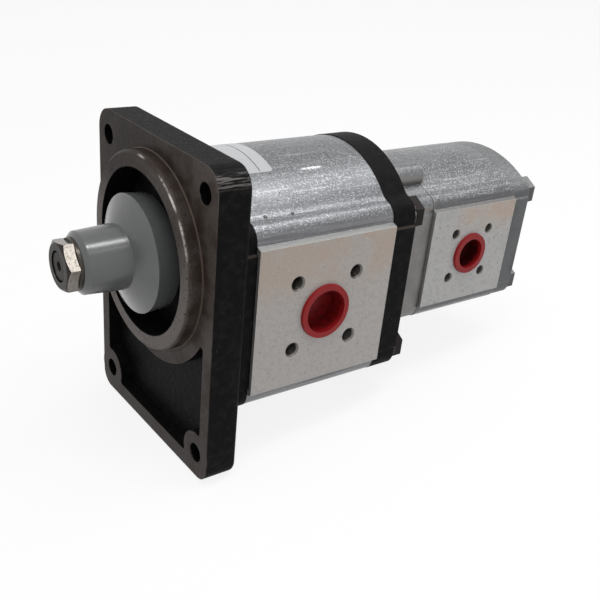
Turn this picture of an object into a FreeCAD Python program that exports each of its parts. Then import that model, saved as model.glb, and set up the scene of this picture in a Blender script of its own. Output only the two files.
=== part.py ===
import FreeCAD, Part
import math
import os
import Sketcher

# Tandem gear pump: two external gear pumps in line on one drive shaft.
# X runs along the shaft, from the drive end at -X to the rear cover. +Z is up, and the shaft
# axis lies above the driven gears. The origin is on the shaft axis, in the flange's mounting face.

Vector = FreeCAD.Vector

doc = FreeCAD.newDocument("TandemGearPump")
sheet = doc.addObject("Spreadsheet::Sheet", "Sizes")


class Size:
    """A length that also remembers how it is worked out from the cells of the sheet."""

    def __init__(self, value, formula):
        self.value = float(value)
        self.formula = formula

    def joined(self, other, sign, value):
        return Size(value, "(%s %s %s)" % (self.formula, sign, other.formula))

    def __add__(self, other):
        other = size(other)
        return self.joined(other, "+", self.value + other.value)

    def __sub__(self, other):
        other = size(other)
        return self.joined(other, "-", self.value - other.value)

    def __mul__(self, other):
        other = size(other)
        return self.joined(other, "*", self.value * other.value)

    def __truediv__(self, other):
        other = size(other)
        return self.joined(other, "/", self.value / other.value)

    def __neg__(self):
        return Size(-self.value, "(-1 * %s)" % self.formula)


def size(number):
    """A plain number as a Size."""
    return number if isinstance(number, Size) else Size(number, repr(float(number)))


# The driving dimensions, in millimetres and degrees
DIMENSIONS = {
    # Lengths along the shaft
    "flange_thickness": 19,         # mounting flange of the front cover
    "neck_length": 10,              # front cover behind the flange
    "front_body_length": 89,        # body of the front pump
    "middle_cover_thickness": 16.2, # cover between the two pumps
    "adapter_thickness": 24,        # plate that carries the rear pump
    "rear_body_length": 69,         # body of the rear pump
    "end_cover_thickness": 14.3,    # rear cover

    # Mounting flange
    "flange_side_margin": 11.7,     # flange hole to the flange's side
    "flange_top_margin": 13.5,      # upper flange holes to the top edge
    "flange_bottom_margin": 14.5,   # lower flange holes to the bottom edge
    "flange_top_radius": 12,        # upper corners of the flange
    "flange_bottom_radius": 9,      # lower corners of the flange
    "flange_back_radius": 2.5,      # cast edge behind the flange
    "hole_half_y": 51,              # flange holes, half their distance across
    "hole_half_z": 72.5,            # flange holes, half their distance in height
    "flange_hole_radius": 5.5,      # flange hole for an M10 bolt
    "pilot_radius": 52.5,           # spigot that centres the pump
    "pilot_height": 8,              # spigot in front of the flange face
    "pilot_chamfer": 1.5,           # chamfer round the spigot
    "pilot_bore": 44,               # recess inside the spigot
    "pilot_bore_floor": 10,         # flange face to the floor of that recess
    "lip_radius": 61,               # machined land round the spigot
    "rim_width": 8,                 # machined rim at the sides of the lower recess
    "rim_bottom": 9,                # machined rim under the lower recess
    "recess_depth": 8.5,            # cast recess in the flange's lower half
    "recess_radius": 1.8,           # corners of the cast recess
    "corner_boss": 12.3,            # land round each lower flange hole

    # Outline of the front pump, with its origin halfway between the gear axes
    "front_crown": 49.4,            # top of the lobe above each gear axis
    "front_ridge_y": 44.6,          # ridge along each bolt, from the middle plane
    "front_ridge_z": 43.4,          # that ridge above the middle of the pump
    "front_ridge": 9.3,             # radius of that ridge
    "front_valley": 10,             # hollow between the lobe and the ridge
    "front_face_y": 57.5,           # port face from the middle plane
    "front_face_top": 41.5,         # half the height of the port face
    "cover_crown": 49.8,            # top of the cast covers above each gear axis
    "cover_ridge": 9.5,             # radius of the cast covers' ridges
    "cover_side_y": 55.4,           # side of the cast covers
    "cover_side_top": 38,           # half the height of that side
    "ledge_rise": 1.2,              # slope between a ridge and the face beside it

    # Outline of the rear pump
    "rear_crown": 34.3,             # top of the lobe above each gear axis
    "rear_ridge_y": 37.3,           # ridge along each bolt, from the middle plane
    "rear_ridge_z": 32,             # that ridge above the middle of the pump
    "rear_ridge": 7.4,              # radius of that ridge
    "rear_valley": 8,               # hollow between the lobe and the ridge
    "rear_face_y": 47,              # port face from the middle plane
    "rear_face_top": 30.4,          # half the height of the port face
    "rear_cover_ridge": 7,          # radius of the adapter's and the rear cover's ridges
    "rear_cover_side": 45,          # side of the adapter and rear cover
    "rear_cover_side_top": 28.6,    # half the height of that side

    # Gears, bearings and fits
    "teeth": 12,                    # teeth of every gear
    "pressure_angle": 25,           # working pressure angle in degrees
    "backlash": 0.24,               # play between the teeth along the pitch circle
    "front_pitch": 50,              # distance between the front gears
    "front_tip": 28.5,              # tip radius of the front gears
    "front_root": 20.6,             # root radius of the front gears
    "front_journal": 13,            # journal radius of the front gears
    "front_block": 24,              # length of a front bearing block
    "rear_pitch": 31,               # distance between the rear gears
    "rear_tip": 17.8,               # tip radius of the rear gears
    "rear_root": 12.8,              # root radius of the rear gears
    "rear_journal": 8,              # journal radius of the rear gears
    "rear_block": 20,               # length of a rear bearing block
    "bush_wall": 1.5,               # wall of a journal bush
    "journal_gap": 1,               # room behind the drive shaft's rear journal
    "running_fit": 0.05,            # radial play of a shaft in its bush or seal
    "tip_clearance": 0.12,          # play between the teeth and the body
    "side_clearance": 0.06,         # play beside a gear and beside a bearing block
    "seat_clearance": 0.05,         # play of a fixed piece in its seat
    "gland_offset": 2,              # gear bore to the groove of the body seal
    "gland_width": 2.4,             # width of the groove of the body seal
    "gland_depth": 1.8,             # depth of a seal groove
    "balance_width": 2,             # width of the seal on a bearing block
    "balance_depth": 1.6,           # depth of its groove
    "balance_overlap": 0.6,         # how far each half of that seal runs past the middle

    # Drive shaft, its seal and its guard
    "shaft_radius": 12.5,           # shaft at the seal and large end of the taper
    "taper_start": 8,               # large end of the 1:5 taper in front of the flange face
    "taper_length": 32,             # length of the taper
    "taper_rate": 0.1,              # radius lost for each millimetre of the taper
    "thread_radius": 8,             # M16 x 1.5 thread at the shaft end
    "thread_length": 10.9,          # threaded end of the shaft
    "thread_play": 0.05,            # play left in place of a cut thread
    "end_chamfer": 0.9,             # chamfer at shaft and bolt ends
    "centre_hole": 2.6,             # radius of the centre hole in the shaft end
    "seal_radius": 21,              # outside of the shaft seal
    "seal_width": 7,                # width of the shaft seal
    "seal_wall": 2,                 # wall of the shaft seal
    "seal_bottom": 20,              # flange face to the end of the seal's bore
    "shaft_hole": 13.4,             # hole for the shaft behind its seal
    "shaft_land": 2,                # shaft behind the seal before it widens to its journal
    "circlip_radius": 22.4,         # groove of the seal's retaining ring
    "circlip_width": 1.75,          # thickness of the retaining ring
    "circlip_inner": 19,            # inside of the retaining ring
    "circlip_gap": 6,               # gap between the ends of the retaining ring
    "key_width": 5,                 # width of the half-moon key
    "key_radius": 9.5,              # radius of the half-moon key
    "key_stand": 2.3,               # height of the key above the taper
    "guard_sleeve": 17.3,           # outside of the guard's sleeve at its root
    "guard_sleeve_end": 16.2,       # outside of the guard's sleeve at its outer end
    "guard_sleeve_root": 19,        # root of the sleeve in front of the flange face
    "guard_wall": 2.2,              # wall of the guard
    "guard_disc": 31.3,             # rim of the guard
    "guard_disc_front": 12.4,       # front edge of the rim in front of the flange face
    "guard_disc_back": 0.4,         # rear edge of the rim in front of the flange face
    "guard_end_wall": 3.3,          # end of the guard under the washer
    "guard_chamfer": 2.4,           # chamfer at the outer end of the sleeve
    "washer_radius": 13.3,          # washer under the shaft nut
    "washer_thickness": 1.8,        # thickness of that washer
    "nut_flats": 24,                # width of the shaft nut across its flats
    "nut_thickness": 6.4,           # height of the shaft nut
    "nut_turn": 51,                 # turn of the shaft nut in degrees

    # Coupling between the two drive gears
    "spline_teeth": 9,              # teeth of the coupling spline
    "spline_root": 6.2,             # radius under the spline's teeth
    "spline_tip": 7.4,              # radius over the spline's teeth
    "spline_tooth": 2.2,            # width of a spline tooth
    "spline_length": 17,            # spline at the end of each drive gear
    "sleeve_radius": 12,            # outside of the coupling sleeve
    "sleeve_length": 36,            # length of the coupling sleeve
    "sleeve_bore": 14,              # hole for the sleeve in the cover and the adapter

    # Bolts, screws and dowels
    "front_bolt": 5,                # M10 bolts of the front pump
    "front_bolt_y": 43.7,           # their axes from the middle plane
    "front_bolt_z": 41.9,           # their axes above the middle of the pump
    "front_bolt_flats": 17,         # their heads across the flats
    "front_bolt_head": 6.4,         # height of those heads
    "front_bolt_engagement": 15,    # thread in the front cover
    "front_washer": 9.2,            # washers under those heads
    "front_washer_thickness": 1.9,  # thickness of those washers
    "head_relief": 10.4,            # room round a front bolt head in the adapter
    "head_relief_depth": 9.6,       # depth of that room
    "rear_bolt": 5,                 # M10 bolts of the rear pump
    "rear_bolt_y": 35.2,            # their axes from the middle plane
    "rear_bolt_z": 29.9,            # their axes above the middle of the pump
    "rear_bolt_flats": 16,          # their heads across the flats
    "rear_bolt_head": 6.4,          # height of those heads
    "rear_bolt_engagement": 11.5,   # thread in the adapter
    "bolt_play": 0.3,               # play of a bolt in a through hole
    "screw": 4,                     # M8 socket screws of the adapter
    "screw_head": 6.5,              # radius of their heads
    "screw_head_height": 8,         # height of their heads
    "screw_socket": 6,              # hexagon socket across its flats
    "screw_engagement": 11,         # thread in the middle cover
    "screw_y": 29.5,                # screw axis from the middle plane
    "screw_z": 13.5,                # screw axis above the middle of the rear pump
    "screw_seat": 15.4,             # adapter left under a screw head
    "dowel": 3,                     # dowel pins between the castings
    "dowel_depth": 8,               # dowel in each casting
    "front_dowel_y": 45,            # front dowel axis from the middle plane
    "front_dowel_z": 18,            # front dowel axis above the middle
    "rear_dowel_y": 12,             # rear dowel axis from the middle plane
    "rear_dowel_z": 41,             # rear dowel axis above the middle
    "lug_radius": 7,                # half-round lug on the adapter's shoulder
    "lug_y": 25,                    # lug axis from the middle plane
    "lug_z": 47,                    # lug axis above the middle of the rear pump

    # Ports, with a pitch circle of 55 mm in front and 40 mm behind
    "front_port": 13.6,             # mouth of a front port
    "front_port_depth": 13,         # depth of that mouth
    "front_port_throat": 9.5,       # passage from the mouth to the gears
    "front_port_pitch": 38.89,      # square of the front port's screw holes
    "front_port_screw": 3.4,        # core of an M8 thread
    "front_port_screw_depth": 14,   # depth of those holes
    "front_port_countersink": 1.1,  # chamfer at their mouths
    "front_plug_rim": 15.8,         # rim of the front port's plug
    "front_plug_wall": 1.1,         # wall of that plug
    "rear_port": 10.6,              # mouth of a rear port
    "rear_port_depth": 12,          # depth of that mouth
    "rear_port_throat": 6.5,        # passage from the mouth to the gears
    "rear_port_pitch": 28.28,       # square of the rear port's screw holes
    "rear_port_screw": 2.5,         # core of an M6 thread
    "rear_port_screw_depth": 12,    # depth of those holes
    "rear_port_countersink": 0.8,   # chamfer at their mouths
    "rear_plug_rim": 13,            # rim of the rear port's plug
    "rear_plug_wall": 1.1,          # wall of that plug
    "plug_rim_height": 1.7,         # rim of a plug above the port face
    "plug_fit": 0.1,                # play of a plug in its port
}


class Dimensions:
    """The driving dimensions: each becomes a cell of the sheet and an attribute of the same name."""

    def __init__(self, values):
        for row, (alias, value) in enumerate(values.items(), 1):
            sheet.set("A%d" % row, alias.replace("_", " "))
            sheet.set("B%d" % row, str(value))
            sheet.setAlias("B%d" % row, alias)
            setattr(self, alias, Size(value, "Sizes." + alias))


d = Dimensions(DIMENSIONS)
doc.recompute()

# Where each casting starts on the shaft axis
front_body_start = d.flange_thickness + d.neck_length
middle_cover_start = front_body_start + d.front_body_length
adapter_start = middle_cover_start + d.middle_cover_thickness
rear_body_start = adapter_start + d.adapter_thickness
end_cover_start = rear_body_start + d.rear_body_length
end_cover_end = end_cover_start + d.end_cover_thickness

# Edges of the flange, from the middle of its holes
flange_side = d.hole_half_y + d.flange_side_margin
flange_top = d.hole_half_z + d.flange_top_margin
flange_bottom = d.hole_half_z + d.flange_bottom_margin

# Halfway between the gear axes, seen from the shaft axis
front_middle = -(d.front_pitch / 2)
rear_middle = -(d.rear_pitch / 2)

nodes = []


def bind(item, prop, value):
    """Tie a property to the sheet."""
    item.setExpression(prop, size(value).formula)


def new_body(label, x=0, y=0, z=0):
    """A sub-part with its own label, placed by the sheet."""
    body = doc.addObject("PartDesign::Body", label)
    body.Label = label
    for axis, value in zip("xyz", (x, y, z)):
        bind(body, "Placement.Base." + axis, value)
    nodes.append(body)
    return body


def origin_plane(body, role):
    return [plane for plane in body.Origin.OriginFeatures if plane.Role == role][0]


def new_sketch(body, name, role="YZ_Plane", offset=0, up=0):
    """A sketch on an origin plane. On YZ_Plane its axes are Y and Z, on XZ_Plane X and Z."""
    sketch = body.newObject("Sketcher::SketchObject", body.Label + "_" + name)
    sketch.AttachmentSupport = [(origin_plane(body, role), "")]
    sketch.MapMode = "FlatFace"
    bind(sketch, "AttachmentOffset.Base.z", offset)
    bind(sketch, "AttachmentOffset.Base.y", up)
    return sketch


def point_of(x, y):
    return Vector(size(x).value, size(y).value, 0)


def measure(sketch, kind, value, *where):
    """A dimension of the sketch, tied to the sheet."""
    index = sketch.addConstraint(Sketcher.Constraint(kind, *where, size(value).value))
    bind(sketch, "Constraints[%d]" % index, value)


def locate(sketch, geometry, position, x, y):
    """Hold a point of the sketch at x, y."""
    for kind, value, axis in (("DistanceX", size(x), -2), ("DistanceY", size(y), -1)):
        if value.value == 0:
            sketch.addConstraint(Sketcher.Constraint("PointOnObject", geometry, position, axis))
        else:
            measure(sketch, kind, value, -1, 1, geometry, position)


def circle(sketch, x, y, radius):
    ring = sketch.addGeometry(Part.Circle(point_of(x, y), Vector(0, 0, 1), size(radius).value), False)
    measure(sketch, "Radius", radius, ring)
    locate(sketch, ring, 3, x, y)


def polygon(sketch, corners):
    """Straight sides through the corners, each corner held where it is."""
    count = len(corners)
    ends = [point_of(*corner) for corner in corners]
    first = None
    for index in range(count):
        side = sketch.addGeometry(Part.LineSegment(ends[index], ends[(index + 1) % count]), False)
        first = side if first is None else first
        if side > first:
            sketch.addConstraint(Sketcher.Constraint("Coincident", side - 1, 2, side, 1))
        locate(sketch, side, 1, *corners[index])
    sketch.addConstraint(Sketcher.Constraint("Coincident", first + count - 1, 2, first, 1))


def rectangle(sketch, low_x, low_y, high_x, high_y):
    polygon(sketch, [(low_x, low_y), (high_x, low_y), (high_x, high_y), (low_x, high_y)])


def hexagon(sketch, x, y, flats, turn=0):
    """A hexagon given by its width across the flats; turn moves its corners, in degrees."""
    corners = []
    half = size(flats) / 2
    for corner in range(6):
        angle = math.radians(60 * corner + turn)
        reach = 1 / math.cos(math.radians(30))
        corners.append((size(x) + half * (reach * math.cos(angle)),
                        size(y) + half * (reach * math.sin(angle))))
    polygon(sketch, corners)


def slot(sketch, half_pitch, radius):
    """An upright slot: a half circle round each gear axis, joined by straight sides."""
    centre = size(half_pitch).value
    reach = size(radius).value
    top = sketch.addGeometry(
        Part.ArcOfCircle(Part.Circle(Vector(0, centre, 0), Vector(0, 0, 1), reach), 0, math.pi), False)
    bottom = sketch.addGeometry(
        Part.ArcOfCircle(Part.Circle(Vector(0, -centre, 0), Vector(0, 0, 1), reach),
                         math.pi, 2 * math.pi), False)
    left = sketch.addGeometry(
        Part.LineSegment(Vector(-reach, centre, 0), Vector(-reach, -centre, 0)), False)
    right = sketch.addGeometry(
        Part.LineSegment(Vector(reach, -centre, 0), Vector(reach, centre, 0)), False)
    for first, first_end, second, second_end in ((top, 2, left, 1), (left, 2, bottom, 1),
                                                 (bottom, 2, right, 1), (right, 2, top, 1)):
        sketch.addConstraint(Sketcher.Constraint("Tangent", first, first_end, second, second_end))
    measure(sketch, "Radius", radius, top)
    locate(sketch, top, 3, 0, half_pitch)
    locate(sketch, bottom, 3, 0, -size(half_pitch))


def lower_half_disc(sketch, up, radius):
    """A half disc under a level line, round a point on the sketch's upright axis."""
    centre = point_of(0, up)
    reach = Vector(size(radius).value, 0, 0)
    arc = sketch.addGeometry(
        Part.ArcOfCircle(Part.Circle(centre, Vector(0, 0, 1), reach.x), math.pi, 2 * math.pi), False)
    line = sketch.addGeometry(Part.LineSegment(centre + reach, centre - reach), False)
    sketch.addConstraint(Sketcher.Constraint("Coincident", arc, 2, line, 1))
    sketch.addConstraint(Sketcher.Constraint("Coincident", line, 2, arc, 1))
    sketch.addConstraint(Sketcher.Constraint("Horizontal", line))
    sketch.addConstraint(Sketcher.Constraint("PointOnObject", arc, 3, line))
    measure(sketch, "Radius", radius, arc)
    locate(sketch, arc, 3, 0, up)


def start_feature(body, kind, name):
    """A new feature of the body, and the volume that it starts from."""
    before = body.Tip.Shape.Volume if body.Tip else 0.0
    return body.newObject(kind, name), before


def finish_feature(body, feature, before, grows):
    """Make the feature the body's tip and see that it added or removed material."""
    body.Tip = feature
    doc.recompute()
    after = feature.Shape.Volume
    if (after > before) != grows or "Invalid" in feature.State:
        raise RuntimeError("%s leaves %s at %.1f, before %.1f" % (feature.Name, body.Label, after, before))
    return feature


def pad(body, sketch, length, backwards=False, both_sides=False):
    feature, before = start_feature(body, "PartDesign::Pad", sketch.Name + "_pad")
    feature.Profile = sketch
    bind(feature, "Length", length)
    feature.Reversed = backwards
    feature.Midplane = both_sides
    return finish_feature(body, feature, before, True)


def pocket(body, sketch, depth, backwards=False, both_sides=False):
    """A cut against the sketch's normal, or along it when it goes backwards."""
    feature, before = start_feature(body, "PartDesign::Pocket", sketch.Name + "_cut")
    feature.Profile = sketch
    bind(feature, "Length", depth)
    feature.Reversed = backwards
    feature.Midplane = both_sides
    return finish_feature(body, feature, before, False)


def turn(body, name, corners, cut=False, up=0, role="XZ_Plane", axis="H_Axis"):
    """Revolve a closed outline of (along, radius) corners about the shaft's direction."""
    sketch = new_sketch(body, name, role, up=up)
    polygon(sketch, corners)
    kind = "PartDesign::Groove" if cut else "PartDesign::Revolution"
    feature, before = start_feature(body, kind, sketch.Name + "_turned")
    feature.Profile = sketch
    feature.ReferenceAxis = (sketch, [axis])
    feature.Angle = 360
    return finish_feature(body, feature, before, not cut)


def mirror(body, role, originals=None):
    """Mirror the given features, or the whole body, in one of its origin planes."""
    feature, before = start_feature(body, "PartDesign::Mirrored", body.Tip.Name + "_mirrored")
    if originals:
        feature.Originals = originals
        grows = originals[0].TypeId not in ("PartDesign::Pocket", "PartDesign::Groove")
    else:
        feature.TransformMode = "Whole shape"
        grows = True
    feature.MirrorPlane = (origin_plane(body, role), [""])
    return finish_feature(body, feature, before, grows)


def around_shaft(body, originals, count, grows):
    """Repeat features evenly about the body's own X axis."""
    feature, before = start_feature(body, "PartDesign::PolarPattern", originals[0].Name + "_pattern")
    feature.Originals = originals
    feature.Axis = ([axis for axis in body.Origin.OriginFeatures if axis.Role == "X_Axis"][0], [""])
    feature.Angle = 360
    bind(feature, "Occurrences", count)
    return finish_feature(body, feature, before, grows)


def dress(body, kind, prop, amount, wanted):
    """Fillet or chamfer the edges of the body that the test wants."""
    base = body.Tip
    names = ["Edge%d" % (index + 1) for index, edge in enumerate(base.Shape.Edges) if wanted(edge)]
    if not names:
        raise RuntimeError("no edge to dress on " + body.Label)
    feature = body.newObject("PartDesign::" + kind, base.Name + "_" + kind.lower())
    feature.Base = (base, names)
    bind(feature, prop, amount)
    body.Tip = feature
    doc.recompute()
    return feature


def near(first, second):
    return abs(first - size(second).value) < 1e-4


def along_x(edge):
    """A straight edge that runs along the shaft."""
    if not isinstance(edge.Curve, Part.Line):
        return False
    return abs(abs(edge.Curve.Direction.x) - 1) < 1e-6


def round_edge(edge, radius, x):
    """A circle round the shaft direction with this radius, at this place."""
    if not isinstance(edge.Curve, Part.Circle):
        return False
    return near(edge.Curve.Radius, radius) and near(edge.Curve.Center.x, x)


def port_edge(edge, radius, face_y):
    """The mouth of a hole with this radius in one of the port faces."""
    if not isinstance(edge.Curve, Part.Circle):
        return False
    return near(edge.Curve.Radius, radius) and near(abs(edge.Curve.Center.y), face_y)


def outline_quarter(sketch, half_pitch, crown, ridge_y, ridge_z, ridge, valley, face_y, face_top):
    """A quarter of a pump's outline: lobe, valley, bolt ridge, ledge and port face.

    The lobe is an arc about the middle plane, from its crown down to the top of the ridge's
    circle. The valley rounds the corner between them and touches both.
    """
    drop = size(half_pitch) + crown - ridge_z - ridge
    lobe = (size(ridge_y) * ridge_y + drop * drop) / (drop * 2)
    lobe_z = size(half_pitch) + crown - lobe
    centre = Vector(0, lobe_z.value, 0)
    bolt = Vector(-size(ridge_y).value, size(ridge_z).value, 0)
    big, small, hollow = lobe.value, size(ridge).value, size(valley).value
    apart = bolt - centre
    reach = big + hollow
    spread = (reach ** 2 + apart.Length ** 2 - (small + hollow) ** 2) / (2 * reach * apart.Length)
    lean = math.atan2(apart.y, apart.x) - math.acos(spread)
    dip = centre + Vector(math.cos(lean), math.sin(lean), 0) * reach
    back = math.atan2(dip.y - bolt.y, dip.x - bolt.x)
    axis = Vector(0, 0, 1)
    ridge_side = Vector(bolt.x - small, bolt.y, 0)
    top = size(face_top).value
    step = Vector(ridge_side.x, top + d.ledge_rise.value, 0)
    corner = Vector(-size(face_y).value, top, 0)
    foot = Vector(corner.x, 0, 0)
    crown_point = centre + Vector(0, big, 0)
    pieces = [Part.ArcOfCircle(Part.Circle(centre, axis, big), math.pi / 2, lean),
              Part.ArcOfCircle(Part.Circle(dip, axis, hollow), math.pi + back, math.pi + lean),
              Part.ArcOfCircle(Part.Circle(bolt, axis, small), back, math.pi),
              Part.LineSegment(ridge_side, step), Part.LineSegment(step, corner),
              Part.LineSegment(corner, foot), Part.LineSegment(foot, Vector(0, 0, 0)),
              Part.LineSegment(Vector(0, 0, 0), crown_point)]
    for piece in pieces:
        sketch.addGeometry(piece, False)
    lobe_arc, valley_arc, ridge_arc, side, slope, face_line, floor, middle = range(8)
    joint = Sketcher.Constraint
    sketch.addConstraint(joint("Tangent", lobe_arc, 2, valley_arc, 2))
    sketch.addConstraint(joint("Tangent", valley_arc, 1, ridge_arc, 1))
    sketch.addConstraint(joint("Tangent", ridge_arc, 2, side, 1))
    for line in (side, slope, face_line, floor):
        sketch.addConstraint(joint("Coincident", line, 2, line + 1, 1))
    sketch.addConstraint(joint("Coincident", middle, 2, lobe_arc, 1))
    sketch.addConstraint(joint("Coincident", middle, 1, -1, 1))
    for line in (side, face_line, middle):
        sketch.addConstraint(joint("Vertical", line))
    sketch.addConstraint(joint("Horizontal", floor))
    measure(sketch, "Radius", lobe, lobe_arc)
    measure(sketch, "Radius", valley, valley_arc)
    measure(sketch, "Radius", ridge, ridge_arc)
    locate(sketch, lobe_arc, 3, 0, lobe_z)
    locate(sketch, ridge_arc, 3, -size(ridge_y), ridge_z)
    locate(sketch, slope, 2, -size(face_y), face_top)
    measure(sketch, "DistanceY", size(face_top) + d.ledge_rise, -1, 1, side, 2)


def outline_solid(body, length, offset, *outline):
    """The full block: a quarter of the outline, mirrored across and then up."""
    sketch = new_sketch(body, "outline", offset=offset)
    outline_quarter(sketch, *outline)
    pad(body, sketch, length)
    mirror(body, "XZ_Plane")
    mirror(body, "XY_Plane")


FRONT_OUTLINE = (d.front_pitch / 2, d.front_crown, d.front_ridge_y, d.front_ridge_z, d.front_ridge,
                 d.front_valley, d.front_face_y, d.front_face_top)
COVER_OUTLINE = (d.front_pitch / 2, d.cover_crown, d.front_ridge_y, d.front_ridge_z, d.cover_ridge,
                 d.front_valley, d.cover_side_y, d.cover_side_top)
REAR_OUTLINE = (d.rear_pitch / 2, d.rear_crown, d.rear_ridge_y, d.rear_ridge_z, d.rear_ridge,
                d.rear_valley, d.rear_face_y, d.rear_face_top)
REAR_COVER_OUTLINE = (d.rear_pitch / 2, d.rear_crown, d.rear_ridge_y, d.rear_ridge_z,
                      d.rear_cover_ridge, d.rear_valley, d.rear_cover_side, d.rear_cover_side_top)


def four_holes(body, name, half_y, half_z, radius, depth, offset=0, backwards=False):
    """Four equal holes on a rectangle round the body's own axis."""
    sketch = new_sketch(body, name, offset=offset)
    for sign_y in (-1, 1):
        for sign_z in (-1, 1):
            circle(sketch, size(half_y) * sign_y, size(half_z) * sign_z, radius)
    pocket(body, sketch, depth, backwards)


def dowel_holes(body, name, y, z, offset, backwards):
    """Two holes for dowels, diagonally opposite."""
    sketch = new_sketch(body, name, offset=offset)
    circle(sketch, y, z, d.dowel + d.seat_clearance)
    circle(sketch, -y, -z, d.dowel + d.seat_clearance)
    pocket(body, sketch, d.dowel_depth + d.seat_clearance, backwards)


def make_front_cover():
    """Cast cover with the mounting flange, the spigot and the seat of the shaft seal."""
    body = new_body("front_cover", z=front_middle)
    plate = new_sketch(body, "flange")
    rectangle(plate, -flange_side, -flange_bottom, flange_side, flange_top)
    pad(body, plate, d.flange_thickness)

    def flange_corner(top):
        edge_z = flange_top.value if top else -flange_bottom.value
        return lambda edge: (along_x(edge) and near(abs(edge.CenterOfMass.y), flange_side)
                             and near(edge.CenterOfMass.z, edge_z))

    dress(body, "Fillet", "Radius", d.flange_top_radius, flange_corner(True))
    dress(body, "Fillet", "Radius", d.flange_bottom_radius, flange_corner(False))

    def back_rim(edge):
        box = edge.BoundBox
        on_back = near(box.XMin, d.flange_thickness) and near(box.XMax, d.flange_thickness)
        outer = (near(abs(edge.CenterOfMass.y), flange_side)
                 or near(edge.CenterOfMass.z, flange_top)
                 or near(edge.CenterOfMass.z, -flange_bottom))
        return on_back and outer and isinstance(edge.Curve, Part.Line)

    dress(body, "Fillet", "Radius", d.flange_back_radius, back_rim)

    neck = new_sketch(body, "neck", offset=d.flange_thickness)
    outline_quarter(neck, *COVER_OUTLINE)
    quarter = pad(body, neck, d.neck_length)
    mirror(body, "XZ_Plane", [quarter])
    mirror(body, "XY_Plane", [quarter])
    around_shaft(body, [quarter], 2, True)

    recess = new_sketch(body, "recess")
    recess_side = flange_side - d.rim_width
    rectangle(recess, -recess_side, d.rim_bottom - flange_bottom, recess_side, -front_middle)
    pocket(body, recess, d.recess_depth, backwards=True)
    land = new_sketch(body, "land")
    lower_half_disc(land, -front_middle, d.lip_radius)
    pad(body, land, d.recess_depth)
    bosses = new_sketch(body, "bosses")
    for sign in (-1, 1):
        circle(bosses, d.hole_half_y * sign, -d.hole_half_z, d.corner_boss)
    pad(body, bosses, d.recess_depth)

    def recess_corner(edge):
        place = edge.CenterOfMass
        inside = abs(place.y) < recess_side.value + 0.1 and place.z < 0
        return along_x(edge) and inside and near(edge.BoundBox.XMax, d.recess_depth)

    dress(body, "Fillet", "Radius", d.recess_radius, recess_corner)

    pilot = new_sketch(body, "pilot")
    circle(pilot, 0, -front_middle, d.pilot_radius)
    pad(body, pilot, d.pilot_height, backwards=True)
    dress(body, "Chamfer", "Size", d.pilot_chamfer,
          lambda edge: round_edge(edge, d.pilot_radius, -d.pilot_height))
    past = 1
    turn(body, "bores", [
        (-(d.pilot_height + past), 0), (-(d.pilot_height + past), d.pilot_bore),
        (d.pilot_bore_floor, d.pilot_bore), (d.pilot_bore_floor, d.seal_radius),
        (circlip_start, d.seal_radius), (circlip_start, d.circlip_radius),
        (circlip_end, d.circlip_radius), (circlip_end, d.seal_radius),
        (d.seal_bottom, d.seal_radius), (d.seal_bottom, d.shaft_hole),
        (front_body_start + past, d.shaft_hole), (front_body_start + past, 0)],
        cut=True, up=-front_middle)
    four_holes(body, "flange_holes", d.hole_half_y, d.hole_half_z, d.flange_hole_radius,
               d.flange_thickness + past, backwards=True)
    four_holes(body, "threads", d.front_bolt_y, d.front_bolt_z, d.front_bolt + d.thread_play,
               d.front_bolt_engagement + d.end_chamfer, offset=front_body_start)
    dowel_holes(body, "dowel_holes", d.front_dowel_y, d.front_dowel_z, front_body_start, False)


# The retaining ring lies against the shaft seal
circlip_end = d.seal_bottom - d.seal_width
circlip_start = circlip_end - d.circlip_width - d.seat_clearance


def port(body, name, side, face_y, mouth, mouth_depth, throat, pitch, screw, screw_depth, middle_x):
    """A flanged port: mouth, passage to the gears and four threaded holes round it.

    side is -1 for the port face at -Y. Each sketch lies in the port face.
    """
    out = size(face_y) * -side
    backwards = side < 0
    hole = new_sketch(body, name + "_mouth", "XZ_Plane", offset=out)
    circle(hole, middle_x, 0, mouth)
    pocket(body, hole, mouth_depth, backwards=not backwards)
    passage = new_sketch(body, name + "_throat", "XZ_Plane", offset=out)
    circle(passage, middle_x, 0, throat)
    pocket(body, passage, size(face_y) - throat / 2, backwards=not backwards)
    screws = new_sketch(body, name + "_screws", "XZ_Plane", offset=out)
    for sign_x in (-1, 1):
        for sign_z in (-1, 1):
            circle(screws, middle_x + pitch * (0.5 * sign_x), pitch * (0.5 * sign_z), screw)
    pocket(body, screws, screw_depth, backwards=not backwards)


def make_body(label, start, middle, length, outline, pitch, tip, bolt, bolt_y, bolt_z,
              dowel_y, dowel_z, mouth, mouth_depth, throat, port_pitch, screw, screw_depth,
              countersink):
    """Extruded body: the bore for the gears, bolt holes, seal grooves and a port on each side."""
    body = new_body(label, x=start, z=middle)
    face_y = outline[-2]
    outline_solid(body, length, 0, *outline)
    bore = new_sketch(body, "gear_bore")
    circle(bore, 0, pitch / 2, tip + d.tip_clearance)
    upper = pocket(body, bore, length, backwards=True)
    mirror(body, "XY_Plane", [upper])
    four_holes(body, "bolt_holes", bolt_y, bolt_z, bolt + d.bolt_play, length, backwards=True)
    for name, offset, backwards in (("front", 0, True), ("rear", length, False)):
        groove = new_sketch(body, name + "_gland", offset=offset)
        inner = tip + d.tip_clearance + d.gland_offset
        slot(groove, pitch / 2, inner)
        slot(groove, pitch / 2, inner + d.gland_width)
        pocket(body, groove, d.gland_depth, backwards)
        dowel_holes(body, name + "_dowels", dowel_y, dowel_z, offset, backwards)
    for side, name in ((-1, "right"), (1, "left")):
        port(body, name, side, face_y, mouth, mouth_depth, throat, port_pitch, screw,
             screw_depth, length / 2)
    dress(body, "Chamfer", "Size", countersink, lambda edge: port_edge(edge, screw, face_y))
    return body


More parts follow.
